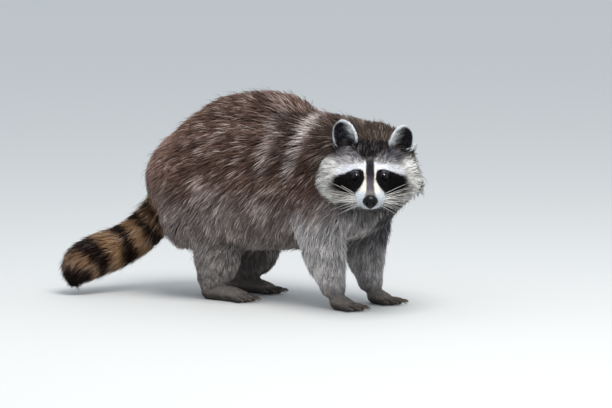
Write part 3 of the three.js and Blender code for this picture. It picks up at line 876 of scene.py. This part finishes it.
def lid_shell(side):
    """The two lids of one eye, as one shell with an almond opening."""
    deselect()
    bpy.ops.mesh.primitive_uv_sphere_add(segments=48, ring_count=24, radius=1)
    lid = bpy.context.object
    place = points_of(lid.data)
    polar = np.arccos(np.clip(place[:, 2], -1, 1))
    pick(lid, "VERT", (polar < .05) | (polar > math.pi / 2 + .02))
    bpy.ops.mesh.delete(type="VERT")
    bpy.ops.object.mode_set(mode="OBJECT")
    place = points_of(lid.data)
    polar = np.arccos(np.clip(place[:, 2], -1, 1))
    turn = np.arctan2(place[:, 1], place[:, 0])
    # x points out to the temple: an almond, longer at the inner corner
    upward = np.sin(turn) * (1 if side == "left" else -1)
    half_high = np.where(upward > 0, OPEN_UP, OPEN_DOWN)
    opening = 1 / np.sqrt((np.cos(turn) / OPEN_OUT) ** 2 + (upward / half_high) ** 2)
    opening += INNER_CORNER * np.clip(-np.cos(turn), 0, 1) ** 8
    share = (polar - polar.min()) / (polar.max() - polar.min())
    polar = opening + share * (LID_REACH - opening)
    radius = EYE_RADIUS + LID_GAP
    place = np.column_stack((np.sin(polar) * np.cos(turn), np.sin(polar) * np.sin(turn), np.cos(polar)))
    put_points(lid.data, radius * place * MM)
    apply_modifier(lid, "SOLIDIFY", thickness=LID_THICK * MM, offset=1)
    apply_modifier(lid, "SUBSURF", levels=1, render_levels=1)
    outward = head_left * (1 if side == "left" else -1)
    lid.data.transform(pole_to(GAZE, outward, eye_middle[side]))
    return lid


def two_toned(name, pattern, scale, tones, roughness, specular=.5, relief=None, sunk=False):
    """A bare finish: a fine pattern between two tones, with a relief of this strength and depth."""
    material, nodes, links, shader = new_material(name, roughness, specular)
    place = nodes.new("ShaderNodeTexCoord")
    grain = nodes.new(f"ShaderNodeTex{pattern}")
    grain.inputs["Scale"].default_value = scale
    value = grain.outputs["Distance" if pattern == "Voronoi" else "Fac"]
    ramp = nodes.new("ShaderNodeValToRGB")
    for stop, tone in zip(ramp.color_ramp.elements, tones):
        stop.color = (*hue(tone), 1)
    links.new(place.outputs["Object"], grain.inputs["Vector"])
    links.new(value, ramp.inputs["Fac"])
    links.new(ramp.outputs["Color"], shader.inputs["Base Color"])
    if relief:
        bump = nodes.new("ShaderNodeBump")
        bump.invert = sunk
        bump.inputs["Strength"].default_value, bump.inputs["Distance"].default_value = relief
        links.new(value, bump.inputs["Height"])
        links.new(bump.outputs["Normal"], shader.inputs["Normal"])
    return material


LID_BLACK = hue("#0c0b0d")
# the lid skin mottles between black and a bluish tone; the bluish tone is painted sheen of the sky on the
# black skin
lid_skin_and_sheen = two_toned("lid_skin_and_sheen", "Noise", 1400, ("#0e0d13", "#262433"), .36, relief=(.3, .2 * MM))
lids = []
for side in SIDES:
    lid = lid_shell(side)
    colour_points(lid.data, np.tile(LID_BLACK, (len(lid.data.vertices), 1)))
    lid.data.materials.append(lid_skin_and_sheen)
    lids.append(lid)
select_only(*lids, hide)
bpy.ops.object.join()
bpy.ops.object.shade_smooth()
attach(hide, "root")
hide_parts(*FLESH)


# ---- The eyes ----
# Each eyeball is a glass-bright sphere with a bulging cornea.  The pupil is black and the iris hardly
# paler, with fine fibres that run out from the pupil.
CORNEA_RISE, CORNEA_EDGE = .55, math.radians(52)
PUPIL, IRIS_EDGE = math.radians(24), math.radians(50)

eye_glass, eye_nodes, eye_links, eye_shader = new_material("eye_glass", .04, .08)
iris_place = eye_nodes.new("ShaderNodeAttribute")
iris_place.attribute_name = "iris"
iris_parts = eye_nodes.new("ShaderNodeSeparateXYZ")
fibres = eye_nodes.new("ShaderNodeTexNoise")
fibres.inputs["Scale"].default_value = 9
fibre_turn = eye_nodes.new("ShaderNodeMath")
fibre_turn.operation = "MULTIPLY_ADD"
fibre_turn.inputs[1].default_value = .16
iris_colours = eye_nodes.new("ShaderNodeValToRGB")
stops = iris_colours.color_ramp.elements
stops[0].position, stops[0].color = PUPIL / 2 + .06, (*hue("#020202"), 1)
stops[1].position, stops[1].color = PUPIL / 2 + .12, (*hue("#0b0808"), 1)
for position, code in ((IRIS_EDGE / 2 + .02, "#0f0b0d"), (IRIS_EDGE / 2 + .1, "#050406"), (.98, "#08070a")):
    stop = stops.new(position)
    stop.color = (*hue(code), 1)
eye_links.new(iris_place.outputs["Vector"], iris_parts.inputs[0])
eye_links.new(iris_place.outputs["Vector"], fibres.inputs["Vector"])
eye_links.new(fibres.outputs["Fac"], fibre_turn.inputs[0])
eye_links.new(iris_parts.outputs["X"], fibre_turn.inputs[2])
eye_links.new(fibre_turn.outputs[0], iris_colours.inputs["Fac"])
eye_links.new(iris_colours.outputs["Color"], eye_shader.inputs["Base Color"])

for side in SIDES:
    deselect()
    bpy.ops.mesh.primitive_uv_sphere_add(segments=48, ring_count=32, radius=EYE_RADIUS * MM)
    eye = bpy.context.object
    eye.name = f"eyeball_{side}"
    place = points_of(eye.data)
    polar = np.arccos(np.clip(place[:, 2] / (EYE_RADIUS * MM), -1, 1))
    turn = np.arctan2(place[:, 1], place[:, 0])
    swell = CORNEA_RISE * (1 - ease(polar, .1, CORNEA_EDGE))
    put_points(eye.data, place * (1 + swell / EYE_RADIUS)[:, None])
    iris = eye.data.attributes.new("iris", "FLOAT_VECTOR", "POINT")
    iris_spot = np.column_stack((polar / 2, np.cos(turn) * 1.2, np.sin(turn) * 1.2))
    iris.data.foreach_set("vector", iris_spot.astype(np.float32).ravel())
    eye.data.transform(pole_to(GAZE, head_left, eye_middle[side]))
    bpy.ops.object.shade_smooth()
    eye.data.materials.append(eye_glass)
    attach(eye, "root")
    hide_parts(f"eye_{side}")


# ---- The nose ----
# The nose pad is bare, black and pebbled: a broad bell with two comma-shaped nostrils that open to
# the sides, and a groove down its middle to the lip.
NOSTRIL_OUT, NOSTRIL_DEPTH = .46, .34
nose_box = head_frame(body_frame(points_of(frame["nodes"]["nose"].data)))
nose_low, nose_high = nose_box.min(axis=0), nose_box.max(axis=0)
nose_centre, nose_half = (nose_low + nose_high) / 2, (nose_high - nose_low) / 2
deselect()
bpy.ops.mesh.primitive_uv_sphere_add(segments=96, ring_count=64, radius=1)
nose = bpy.context.object
nose.name = "nose_pad"
ball = points_of(nose.data)
x, y, z = ball.T
front = ease(-y, -.2, .5)
nostril = np.exp(-(((np.abs(x) - NOSTRIL_OUT) / .17) ** 2 + ((z + .02) / .2) ** 2))
comma_z = -.05 - .22 * ease(np.abs(x), .5, .95)
comma = np.exp(-((z - comma_z) / .1) ** 2) * ease(np.abs(x), .42, .58) * (1 - ease(np.abs(x), .9, 1.0))
groove = np.exp(-(x / .055) ** 2) * (1 - ease(z, -.15, .25))
wing = np.exp(-(((np.abs(x) - .62) / .25) ** 2 + ((z - .22) / .22) ** 2))
inward = front * (NOSTRIL_DEPTH * nostril + .2 * comma + .1 * groove) - .06 * wing * front
narrow = 1 - .34 * (1 - ease(z, -1, .1))
shaped = ball * (1 - inward)[:, None]
shaped[:, 0] *= narrow
shaped[:, 2] *= np.where(z > 0, .98, 1)
shaped = from_head(nose_centre + np.array((0, -.6, 0)) + shaped * nose_half * (.99, 1.05, 1.05))
put_points(nose.data, room_frame(shaped))
bpy.ops.object.shade_smooth()
nose_skin = two_toned("nose_skin", "Voronoi", 950, ("#050508", "#020203"), .14, .2, (.45, .3 * MM), sunk=True)
nose.data.materials.append(nose_skin)
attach(nose, "root")
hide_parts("nose")


# ---- The coat ----
# The coat is solid tufts, each a tapering lock that leaves the hide, bends over and lies along the
# body.  Neighbours draw together at their tips.  Every region of the hide carries a piece of its own.
TUFT_PATCH = .003
# where the rings of a tuft stand along it, and how wide each is
LONG_STEPS, SHORT_STEPS = (0, .35, .7, 1), (0, .5, 1)
LONG_SHAPE, SHORT_SHAPE = (.7, 1, .74), (.8, .9)
LONG_FROM, TUFT_FLAT = 11, .55
RING_ANGLES = np.radians((90, 210, 330))
TUFT_HALF, HALF_FOR_LENGTH = .27, .0142
ROOT_SUNK, LIFT_CURVE, FLOOR_CLEAR = -.4, 1.6, .3
CLOSEST, SPREAD, PAW_SPARSE = 1.3, .328, 1.15
STRAY_SHARE, STRAY_RISE, STRAY_LONGER, STRAY_THIN = .05, 1.35, 1.2, .55
SWAY, OWN_WAY = .55, .09
CLUMP, GATHER = 7, .42
HANG, RUFF_SLACK, TAIL_SLACK = .8, .5, .7
TONE_RANGE = 2.1

hide.data.calc_loop_triangles()
hide_faces = np.empty(len(hide.data.loop_triangles) * 3, dtype=np.int32)
hide.data.loop_triangles.foreach_get("vertices", hide_faces)
hide_faces = hide_faces.reshape(-1, 3)
hide_faces = hide_faces[(hide_faces < len(hide_points)).all(axis=1)]
hide_tree = BVHTree.FromPolygons(hide_body.tolist(), hide_faces.tolist())
face_corners = hide_body[hide_faces]
face_middle = face_corners.mean(axis=1)
first_edge = face_corners[:, 1] - face_corners[:, 0]
second_edge = face_corners[:, 2] - face_corners[:, 0]
face_area = np.linalg.norm(np.cross(first_edge, second_edge), axis=1) / 2
face_part = part[hide_faces[:, 0]]
face_length = length[hide_faces].mean(axis=1)
face_width = .6 + .033 * face_length
face_gap = np.maximum(CLOSEST, SPREAD * np.sqrt(face_length * face_width))
face_gap[np.isin(face_part, PAW_PARTS)] *= PAW_SPARSE


def unwrap(faces):
    """A flat layout of these faces of the hide in the unit square: a place for each face's corners."""
    used, local = np.unique(faces, return_inverse=True)
    mesh = bpy.data.meshes.new("patch")
    mesh.from_pydata(hide_points[used].tolist(), [], local.reshape(-1, 3).tolist())
    patch = bpy.data.objects.new("patch", mesh)
    bpy.context.scene.collection.objects.link(patch)
    select_only(patch)
    edit_all(patch)
    bpy.ops.uv.smart_project(angle_limit=math.radians(66), island_margin=.004)
    bpy.ops.object.mode_set(mode="OBJECT")
    flat = read(mesh.uv_layers.active.uv, "vector", 2)
    bpy.data.objects.remove(patch)
    bpy.data.meshes.remove(mesh)
    return flat.reshape(-1, 3, 2)


def over_hide(points, height, root_normal):
    """Points moved to this height over the nearest place of the hide, and the way out there."""
    found = [hide_tree.find_nearest(Vector(p)) for p in points]
    foot = np.array([f[0] for f in found])
    normal = unit(np.array([f[1] for f in found]) + root_normal)
    return foot + normal * height[:, None], normal


def clear_of_bare_skin(paths):
    """False for tufts that would cross an eye or the nose pad."""
    keep = np.ones(len(paths[0]), dtype=bool)
    for points in paths:
        for side in SIDES:
            from_eye = points - eye_middle[side]
            ahead = from_eye @ GAZE
            off_axis = np.linalg.norm(from_eye - ahead[:, None] * GAZE, axis=1)
            keep &= ~((ahead > 2) & (ahead < 18) & (off_axis < EYE_RADIUS - .6))
        local = (head_frame(points) - nose_centre) / (nose_half * 1.03)
        keep &= np.linalg.norm(local, axis=1) > 1
    return keep


def solid_tufts(name, paths, normals, shape, half_width, colours, roots_uv, rng):
    """Joins the tufts into one mesh: closed locks of three sides that taper to a point."""
    count, rings = len(half_width), len(shape)
    points = np.stack(paths)
    run = unit(np.gradient(points, axis=0))
    sideways = unit(np.cross(normals, run))
    upward = np.cross(run, sideways)
    corners = np.empty((count, rings * 3 + 1, 3))
    corner_normals = np.empty_like(corners)
    corner_colours = np.empty_like(corners)
    strand = np.zeros((count, rings * 3 + 1, 3))
    steps = np.linalg.norm(np.diff(points, axis=0), axis=2)
    reach = np.concatenate((np.zeros((1, count)), np.cumsum(steps, axis=0)))
    lock = rng.random(count) * 90
    for ring, wide in enumerate(shape):
        for corner, angle in enumerate(RING_ANGLES):
            at = ring * 3 + corner
            radial = sideways[ring] * math.cos(angle) + upward[ring] * math.sin(angle) * TUFT_FLAT
            corners[:, at] = points[ring] + radial * (half_width * wide)[:, None]
            corner_normals[:, at] = radial * .8 + normals[ring] * .6
            corner_colours[:, at] = colours[ring]
            strand[:, at] = np.column_stack((half_width * wide * math.cos(angle), reach[ring], lock))
    corners[:, -1] = points[-1]
    corner_normals[:, -1] = normals[-1]
    corner_colours[:, -1] = colours[-1]
    strand[:, -1] = np.column_stack((np.zeros(count), reach[-1], lock))
    corners[..., 2] = np.maximum(corners[..., 2], FLOOR_CLEAR)

    # one tuft's faces and their corners' spots in its patch of OFBake; the others repeat them
    faces, spots = [(2, 1, 0)], [((1, 0), (0, 0), (-1, 0))]
    for ring in range(rings):
        for a, b in ((0, 1), (1, 2), (2, 0)):
            low, high = ring * 3, ring * 3 + 3
            v_low, v_high = ring / rings, (ring + 1) / rings
            if ring < rings - 1:
                faces.append((low + a, low + b, high + b, high + a))
                spots.append(((a - 1, v_low), (b - 1, v_low), (b - 1, v_high), (a - 1, v_high)))
            else:
                faces.append((low + a, low + b, rings * 3))
                spots.append(((a - 1, v_low), (b - 1, v_low), (0, v_high)))
    one_tuft = np.concatenate([np.array(f) for f in faces])
    sizes = np.array([len(f) for f in faces])
    spots = np.concatenate([np.array(s, float) for s in spots])
    each = rings * 3 + 1
    mesh = bpy.data.meshes.new(name)
    mesh.vertices.add(count * each)
    mesh.vertices.foreach_set("co", room_frame(corners).astype(np.float32).ravel())
    loops = (np.arange(count)[:, None] * each + one_tuft).ravel()
    mesh.loops.add(len(loops))
    mesh.loops.foreach_set("vertex_index", loops.astype(np.int32))
    starts = np.concatenate(((0,), np.cumsum(np.tile(sizes, count))[:-1]))
    mesh.polygons.add(len(starts))
    mesh.polygons.foreach_set("loop_start", starts.astype(np.int32))
    mesh.update(calc_edges=True)
    mesh.shade_smooth()
    uv = mesh.uv_layers.new(name="OFBake")
    patch = np.column_stack((spots[:, 0] * .5, spots[:, 1] - .5)) * TUFT_PATCH
    flat = np.clip(roots_uv[:, None, :] + patch[None], .001, .999)
    uv.uv.foreach_set("vector", flat.astype(np.float32).ravel())
    colour_points(mesh, corner_colours.reshape(-1, 3))
    lay_out = mesh.attributes.new("strand", "FLOAT_VECTOR", "POINT")
    lay_out.data.foreach_set("vector", strand.astype(np.float32).ravel())
    mesh.normals_split_custom_set_from_vertices(unit(corner_normals.reshape(-1, 3)).astype(np.float32))
    return mesh


coat_hair = grained("coat_hair", True, (3.2, .11, 1), .8, .25, .62)
PALE_TICK = hue("#b9b0aa")


def grow(name, chosen, seed):
    """Grows one piece of the coat on the chosen faces of the hide."""
    rng = np.random.default_rng(seed)
    faces = hide_faces[chosen]
    layout = unwrap(faces)
    wanted = np.cumsum(face_area[chosen] / face_gap[chosen] ** 2)
    count = int(wanted[-1])
    spot = np.searchsorted(wanted, (np.arange(count) + rng.random(count)) / count * wanted[-1])
    spot = np.minimum(spot, len(faces) - 1)
    a, b = np.sqrt(rng.random(count)), rng.random(count)
    share = np.column_stack((1 - a, a * (1 - b), a * b))
    corners = faces[spot]

    def blend(values):
        return np.einsum("nk,nk...->n...", share, values[corners])

    root, normal = blend(hide_body), unit(blend(hide_normals))
    root_uv = np.einsum("nk,nkd->nd", share, layout[spot])
    long = blend(length) * rng.uniform(.72, 1.18, count)
    deep = blend(depth) * rng.uniform(.7, 1.08, count)
    stray = rng.random(count) < STRAY_SHARE
    long = np.where(stray, long * STRAY_LONGER, long)
    deep = np.where(stray, deep * STRAY_RISE, deep)
    way = blend(lie)
    root_part = part[corners[:, 0]]
    on_trunk = root_part == FLESH.index("trunk")
    on_tail = np.isin(root_part, TAIL_PARTS)
    on_cheek = (root_part == FLESH.index("head")) & (long > 20)
    # the hair wanders a little from its lie, together in patches and each lock on its own
    sway = np.column_stack([mottle(root + 300 * k, 15) - .5 for k in (1, 2, 3)])
    way = unit(way + sway * SWAY + rng.normal(0, OWN_WAY, (count, 3)))
    way = unit(way - normal * (way * normal).sum(axis=1, keepdims=True))
    half_width = (TUFT_HALF + HALF_FOR_LENGTH * long) * rng.uniform(.75, 1.25, count)
    half_width = half_width * np.where(stray, STRAY_THIN, 1)

    # the coat hangs free at the edge of the belly, and stands a little off the ruff and the tail
    slack = (RUFF_SLACK * on_cheek + TAIL_SLACK * on_tail) * rng.random(count)
    slack = HANG * (1 - ease(root[:, 2], 92, 135)) * on_trunk + slack

    # each tuft leans to the middle of its clump, more so towards its tip
    leaders = rng.permutation(count)[:count // CLUMP]
    tree = KDTree(len(leaders))
    for index, leader in enumerate(leaders):
        tree.insert(Vector(root[leader]), index)
    tree.balance()
    own = np.array([tree.find(Vector(p))[1] for p in root])
    gather = root[leaders][own] - root
    gather -= normal * (gather * normal).sum(axis=1, keepdims=True)

    is_long = long > LONG_FROM
    made = []
    for group, steps, shape in ((is_long, LONG_STEPS, LONG_SHAPE), (~is_long, SHORT_STEPS, SHORT_SHAPE)):
        if not group.any():
            continue
        flat_run = np.sqrt(np.maximum(long[group] ** 2 - deep[group] ** 2, .2 * long[group] ** 2))
        paths, normals = [], []
        for t in steps:
            ahead = root[group] + way[group] * (flat_run * t)[:, None] + gather[group] * (GATHER * t * t)
            height = deep[group] * (1 - (1 - t) ** LIFT_CURVE) if t else np.full(group.sum(), ROOT_SUNK)
            point, over = over_hide(ahead, height, normal[group])
            free = ahead + normal[group] * height[:, None]
            point = point + (free - point) * (slack[group] * t)[:, None]
            paths.append(point)
            normals.append(over)
        keep = clear_of_bare_skin(paths)
        paths = [p[keep] for p in paths]
        normals = [unit(n[keep] + normal[group][keep]) for n in normals]
        seen_at = paths[-1] * .6 + paths[-2] * .4
        base, tick = markings(seen_at)
        kept = np.nonzero(group)[0][keep]
        # lighter and darker locks: by clump, by lock and in patches, and some are banded pale
        tone = .5 * rng.random(len(leaders))[own[kept]] + .5 * rng.random(len(kept))
        tone = tone + .5 * (mottle(root[kept], 11) - .5) + .3 * (mottle(root[kept] * (1, 1.5, .6), 34) - .5)
        spread = (tone - .5)[:, None] * tick[:, None]
        colour = base * np.exp(TONE_RANGE * spread)
        banded = ease(tone, .6, .95) * .6 * np.clip(base.max(axis=1) * 9, .3, 1)
        colour = lay(colour, PALE_TICK, tick * banded)
        tip = rng.uniform(.62, 1.2, len(kept))[:, None]
        tip = 1 + (tip - 1) * tick[:, None]
        # the roots of long locks, and their middles, are darker: partly the hair's own darker base, partly
        # painted shade deep in the coat
        root_dark_and_shade = np.interp(long[kept], (3, 14), (.8, .4))[:, None]
        shades = [colour * root_dark_and_shade] + [colour * .85] * (len(steps) - 3) + [colour, colour * tip]
        made.append(solid_tufts(name, paths, np.stack(normals), shape, half_width[kept],
                                [np.clip(s, .0015, .9) for s in shades], root_uv[kept], rng))
    pieces = []
    for mesh in made:
        mesh.materials.append(coat_hair)
        piece = bpy.data.objects.new(name, mesh)
        bpy.context.scene.collection.objects.link(piece)
        pieces.append(piece)
    select_only(*reversed(pieces))
    if len(pieces) > 1:
        bpy.ops.object.join()
    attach(pieces[0], "root")


def of_part(*names):
    """True for the faces of the hide that lie on these solids."""
    return np.isin(face_part, [FLESH.index(n) for n in names])


to_left = face_middle[:, 0] > 0
face_seen = head_frame(face_middle)
head_faces = of_part("head", "muzzle", "lower_jaw")
face_front = head_faces & (face_seen[:, 1] < 24)
cheek = head_faces & ~face_front & (face_seen[:, 2] < 16)
grow("coat_face", face_front, 101)
grow("coat_cheek_left", cheek & (face_seen[:, 0] > 0), 102)
grow("coat_cheek_right", cheek & (face_seen[:, 0] <= 0), 103)
grow("coat_crown", head_faces & ~face_front & ~cheek, 104)
grow("coat_neck", of_part("neck"), 105)
grow("coat_tail", np.isin(face_part, TAIL_PARTS), 106)
TRUNK_SPLITS = (("shoulder", -400, -15), ("flank", -15, 105), ("rump", 105, 400))
LIMB_COATS = (("ear", "ear_fur", 130), ("thigh", "back_fur", 140), ("foreleg", "leg_fur", 150),
              ("shank", "leg_fur", 160), ("forepaw", "paw_fur", 170), ("hindfoot", "paw_fur", 180))
for number, side in enumerate(SIDES):
    on_side = to_left == (side == "left")
    for step, (label, start, end) in enumerate(TRUNK_SPLITS):
        span = (face_middle[:, 1] >= start) & (face_middle[:, 1] < end)
        grow(f"coat_{label}_{side}", of_part("trunk") & on_side & span, 110 + 10 * number + step)
    for limb, slot, seed in LIMB_COATS:
        grow(f"coat_{limb}_{side}", of_part(f"{limb}_{side}"), seed + number)


# ---- The claws ----
# Twenty short, curved claws of dark horn, rooted in the toes.  Each foot's five are one piece.
CLAW_ROOT = .7
claw_horn = two_toned("claw_horn", "Noise", 500, ("#2a231e", "#6a5b4c"), .3)
for foot in FEET:
    for side in SIDES:
        names = [f"claw_{foot}_{side}_{n}" for n in range(1, 6)]
        claws = copy_nodes(names, f"claws_{foot}_{side}")
        apply_modifier(claws, "SUBSURF", levels=2, render_levels=2)
        # the root half of each claw reaches back into its toe
        spots = np.array([middle(name) for name in names])
        forward = unit((spots.mean(axis=0) - middle(f"{foot}_{side}")) * (1, 1, 0))
        horn = body_frame(points_of(claws.data))
        own = spots[np.linalg.norm(horn[:, None] - spots[None], axis=2).argmin(axis=1)]
        behind = np.maximum(0, -((horn - own) @ forward))
        put_points(claws.data, room_frame(horn - np.outer(behind * CLAW_ROOT, forward)))
        bpy.ops.object.shade_smooth()
        claws.data.materials.append(claw_horn)
        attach(claws, "root")
        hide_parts(*names)


# ---- The whiskers ----
# Stiff white hairs in four rows of five on each side of the muzzle, and two over each eye.  Each is a
# thin tapering rod that bends back and sinks a little towards its tip.
WHISKER_ROOT, WHISKER_TIP = .3, .09
WHISKER_STEPS, WHISKER_SIDES = 9, 5
whisker_hair = two_toned("whisker_hair", "Noise", 160, ("#cfcac2", "#f4f1ec"), .4)


def whisker(root, way, long, sink):
    """Rings of points along one whisker, in the head's frame."""
    t = np.linspace(0, 1, WHISKER_STEPS)[:, None]
    middle_line = root + way * long * t + np.array((0, .18, -sink)) * long * t ** 2
    run = unit(np.gradient(middle_line, axis=0))
    sideways = unit(np.cross(run, np.array((0, .1, 1.0))))
    upward = np.cross(run, sideways)
    angles = np.linspace(0, 2 * math.pi, WHISKER_SIDES, endpoint=False)
    thick = WHISKER_ROOT + (WHISKER_TIP - WHISKER_ROOT) * t ** .8
    rings = []
    for k in range(WHISKER_STEPS):
        radial = np.cos(angles)[:, None] * sideways[k] + np.sin(angles)[:, None] * upward[k]
        rings.append(middle_line[k] + thick[k] * radial)
    return np.concatenate(rings)


for side, sign, seed in (("left", 1, 7), ("right", -1, 8)):
    rng = np.random.default_rng(seed)
    corners, faces, plan = [], [], []
    for row in range(4):
        for place_in_row in range(5):
            root_out = 13.5 + 2.2 * place_in_row + .6 * row
            root = np.array((sign * root_out, -38 + 6 * place_in_row, -25 - 3 * row))
            fan = math.radians(14 - 13 * row + rng.normal(0, 5))
            back = .25 + .16 * place_in_row + rng.normal(0, .06)
            way = unit(np.array((sign * math.cos(fan), back, math.sin(fan))))
            plan.append((root, way, 34 + 6.5 * place_in_row + rng.uniform(-4, 5), .14))
    for place_in_row in range(2):
        root = np.array((sign * (19 + 4 * place_in_row), 3 + 3 * place_in_row, 12.0))
        plan.append((root, unit(np.array((sign * (.3 + .2 * place_in_row), -.15, .9))), 20, -.1))
    for root, way, long, sink in plan:
        foot, _ = over_hide(from_head(root)[None], np.array((-.8,)), np.zeros((1, 3)))
        rings = whisker(head_frame(foot)[0], way, long, sink)
        start = sum(len(c) for c in corners)
        corners.append(rings)
        for step in range(WHISKER_STEPS - 1):
            for k in range(WHISKER_SIDES):
                n = (k + 1) % WHISKER_SIDES
                low = start + step * WHISKER_SIDES
                faces.append((low + k, low + n, low + WHISKER_SIDES + n, low + WHISKER_SIDES + k))
        faces.append(tuple(start + k for k in reversed(range(WHISKER_SIDES))))
        faces.append(tuple(start + (WHISKER_STEPS - 1) * WHISKER_SIDES + k for k in range(WHISKER_SIDES)))
    mesh = bpy.data.meshes.new(f"whiskers_{side}")
    mesh.from_pydata(room_frame(from_head(np.concatenate(corners))).tolist(), [], faces)
    whiskers = bpy.data.objects.new(f"whiskers_{side}", mesh)
    bpy.context.scene.collection.objects.link(whiskers)
    select_only(whiskers)
    edit_all(whiskers)
    bpy.ops.mesh.normals_make_consistent(inside=False)
    bpy.ops.object.mode_set(mode="OBJECT")
    bpy.ops.object.shade_smooth()
    mesh.materials.append(whisker_hair)
    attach(whiskers, "root")


# ---- The floor, the light and the camera ----
# A plain pale studio floor, an even sky, one wide soft light from above the camera, a second that only
# the eyes reflect, and a long lens that looks a little down on the animal's right side.
FLOOR_HALF = 30
CAMERA_TURN, CAMERA_TIP, CAMERA_FAR = math.radians(-55), math.radians(6), 7.0
PICTURE_WIDE, PICTURE_HIGH, MM_EACH_PIXEL = 612, 408, 1.5
BODY_PIXEL = (295, 301)
SENSOR = 36
SKY_STRENGTH = .98
OVERHEAD_WIDE, OVERHEAD_WATTS = 1.8, 74
EYE_LIGHT_WIDE, EYE_LIGHT_WATTS = 1.0, 760

deselect()
bpy.ops.mesh.primitive_plane_add(size=FLOOR_HALF * 2)
floor = bpy.context.object
floor.name = "studio_floor"
floor_paint, _, _, floor_shader = new_material("floor_paint", .8)
floor_shader.inputs["Base Color"].default_value = (.55, .55, .54, 1)
floor.data.materials.append(floor_paint)

level = math.cos(CAMERA_TIP)
to_camera = Vector((math.sin(CAMERA_TURN) * level, -math.cos(CAMERA_TURN) * level, math.sin(CAMERA_TIP)))
camera_right = Vector((math.cos(CAMERA_TURN), math.sin(CAMERA_TURN), 0))
camera_up = to_camera.cross(camera_right)
camera_data = bpy.data.cameras.new("camera")
camera_data.sensor_width = SENSOR
camera_data.lens = SENSOR * CAMERA_FAR / (PICTURE_WIDE * MM_EACH_PIXEL * MM)
camera_data.clip_end = 100
camera = bpy.data.objects.new("camera", camera_data)
bpy.context.scene.collection.objects.link(camera)
right_by = (BODY_PIXEL[0] - PICTURE_WIDE / 2) * MM_EACH_PIXEL * MM
up_by = (PICTURE_HIGH / 2 - BODY_PIXEL[1]) * MM_EACH_PIXEL * MM
camera.location = (Vector(room_frame(np.zeros(3))) - camera_right * right_by - camera_up * up_by
                   + to_camera * CAMERA_FAR)
camera.rotation_mode = "QUATERNION"
camera.rotation_quaternion = (-to_camera).to_track_quat("-Z", "Y")
bpy.context.scene.camera = camera

sky = bpy.data.worlds.new("soft_sky")
sky.use_nodes = True
sky.node_tree.nodes["Background"].inputs["Color"].default_value = (.86, .93, 1, 1)
sky.node_tree.nodes["Background"].inputs["Strength"].default_value = SKY_STRENGTH
bpy.context.scene.world = sky


def soft_light(name, place, wide, watts, colour):
    """A round soft light at this place that shines on the animal."""
    light_data = bpy.data.lights.new(name, "AREA")
    light_data.shape = "DISK"
    light_data.size = wide
    light_data.energy = watts
    light_data.color = colour
    light = bpy.data.objects.new(name, light_data)
    bpy.context.scene.collection.objects.link(light)
    light.location = place
    light.rotation_mode = "QUATERNION"
    light.rotation_quaternion = (Vector(place) - Vector((0, 0, .15))).to_track_quat("Z", "Y")
    return light


overhead = to_camera * 1.2 + camera_right * .4 + Vector((0, 0, 2.4))
soft_light("overhead", overhead, OVERHEAD_WIDE, OVERHEAD_WATTS, (1, .98, .95))
by_camera = to_camera * 2.6 + camera_right * .6 + Vector((0, 0, 1.3))
eye_light = soft_light("eye_light", by_camera, EYE_LIGHT_WIDE, EYE_LIGHT_WATTS, (.92, .96, 1))
lit_eyes = bpy.data.collections.new("lit_eyes")
for side in SIDES:
    lit_eyes.objects.link(bpy.data.objects[f"eyeball_{side}"])
eye_light.light_linking.receiver_collection = lit_eyes
bpy.context.scene.view_settings.view_transform = "Standard"
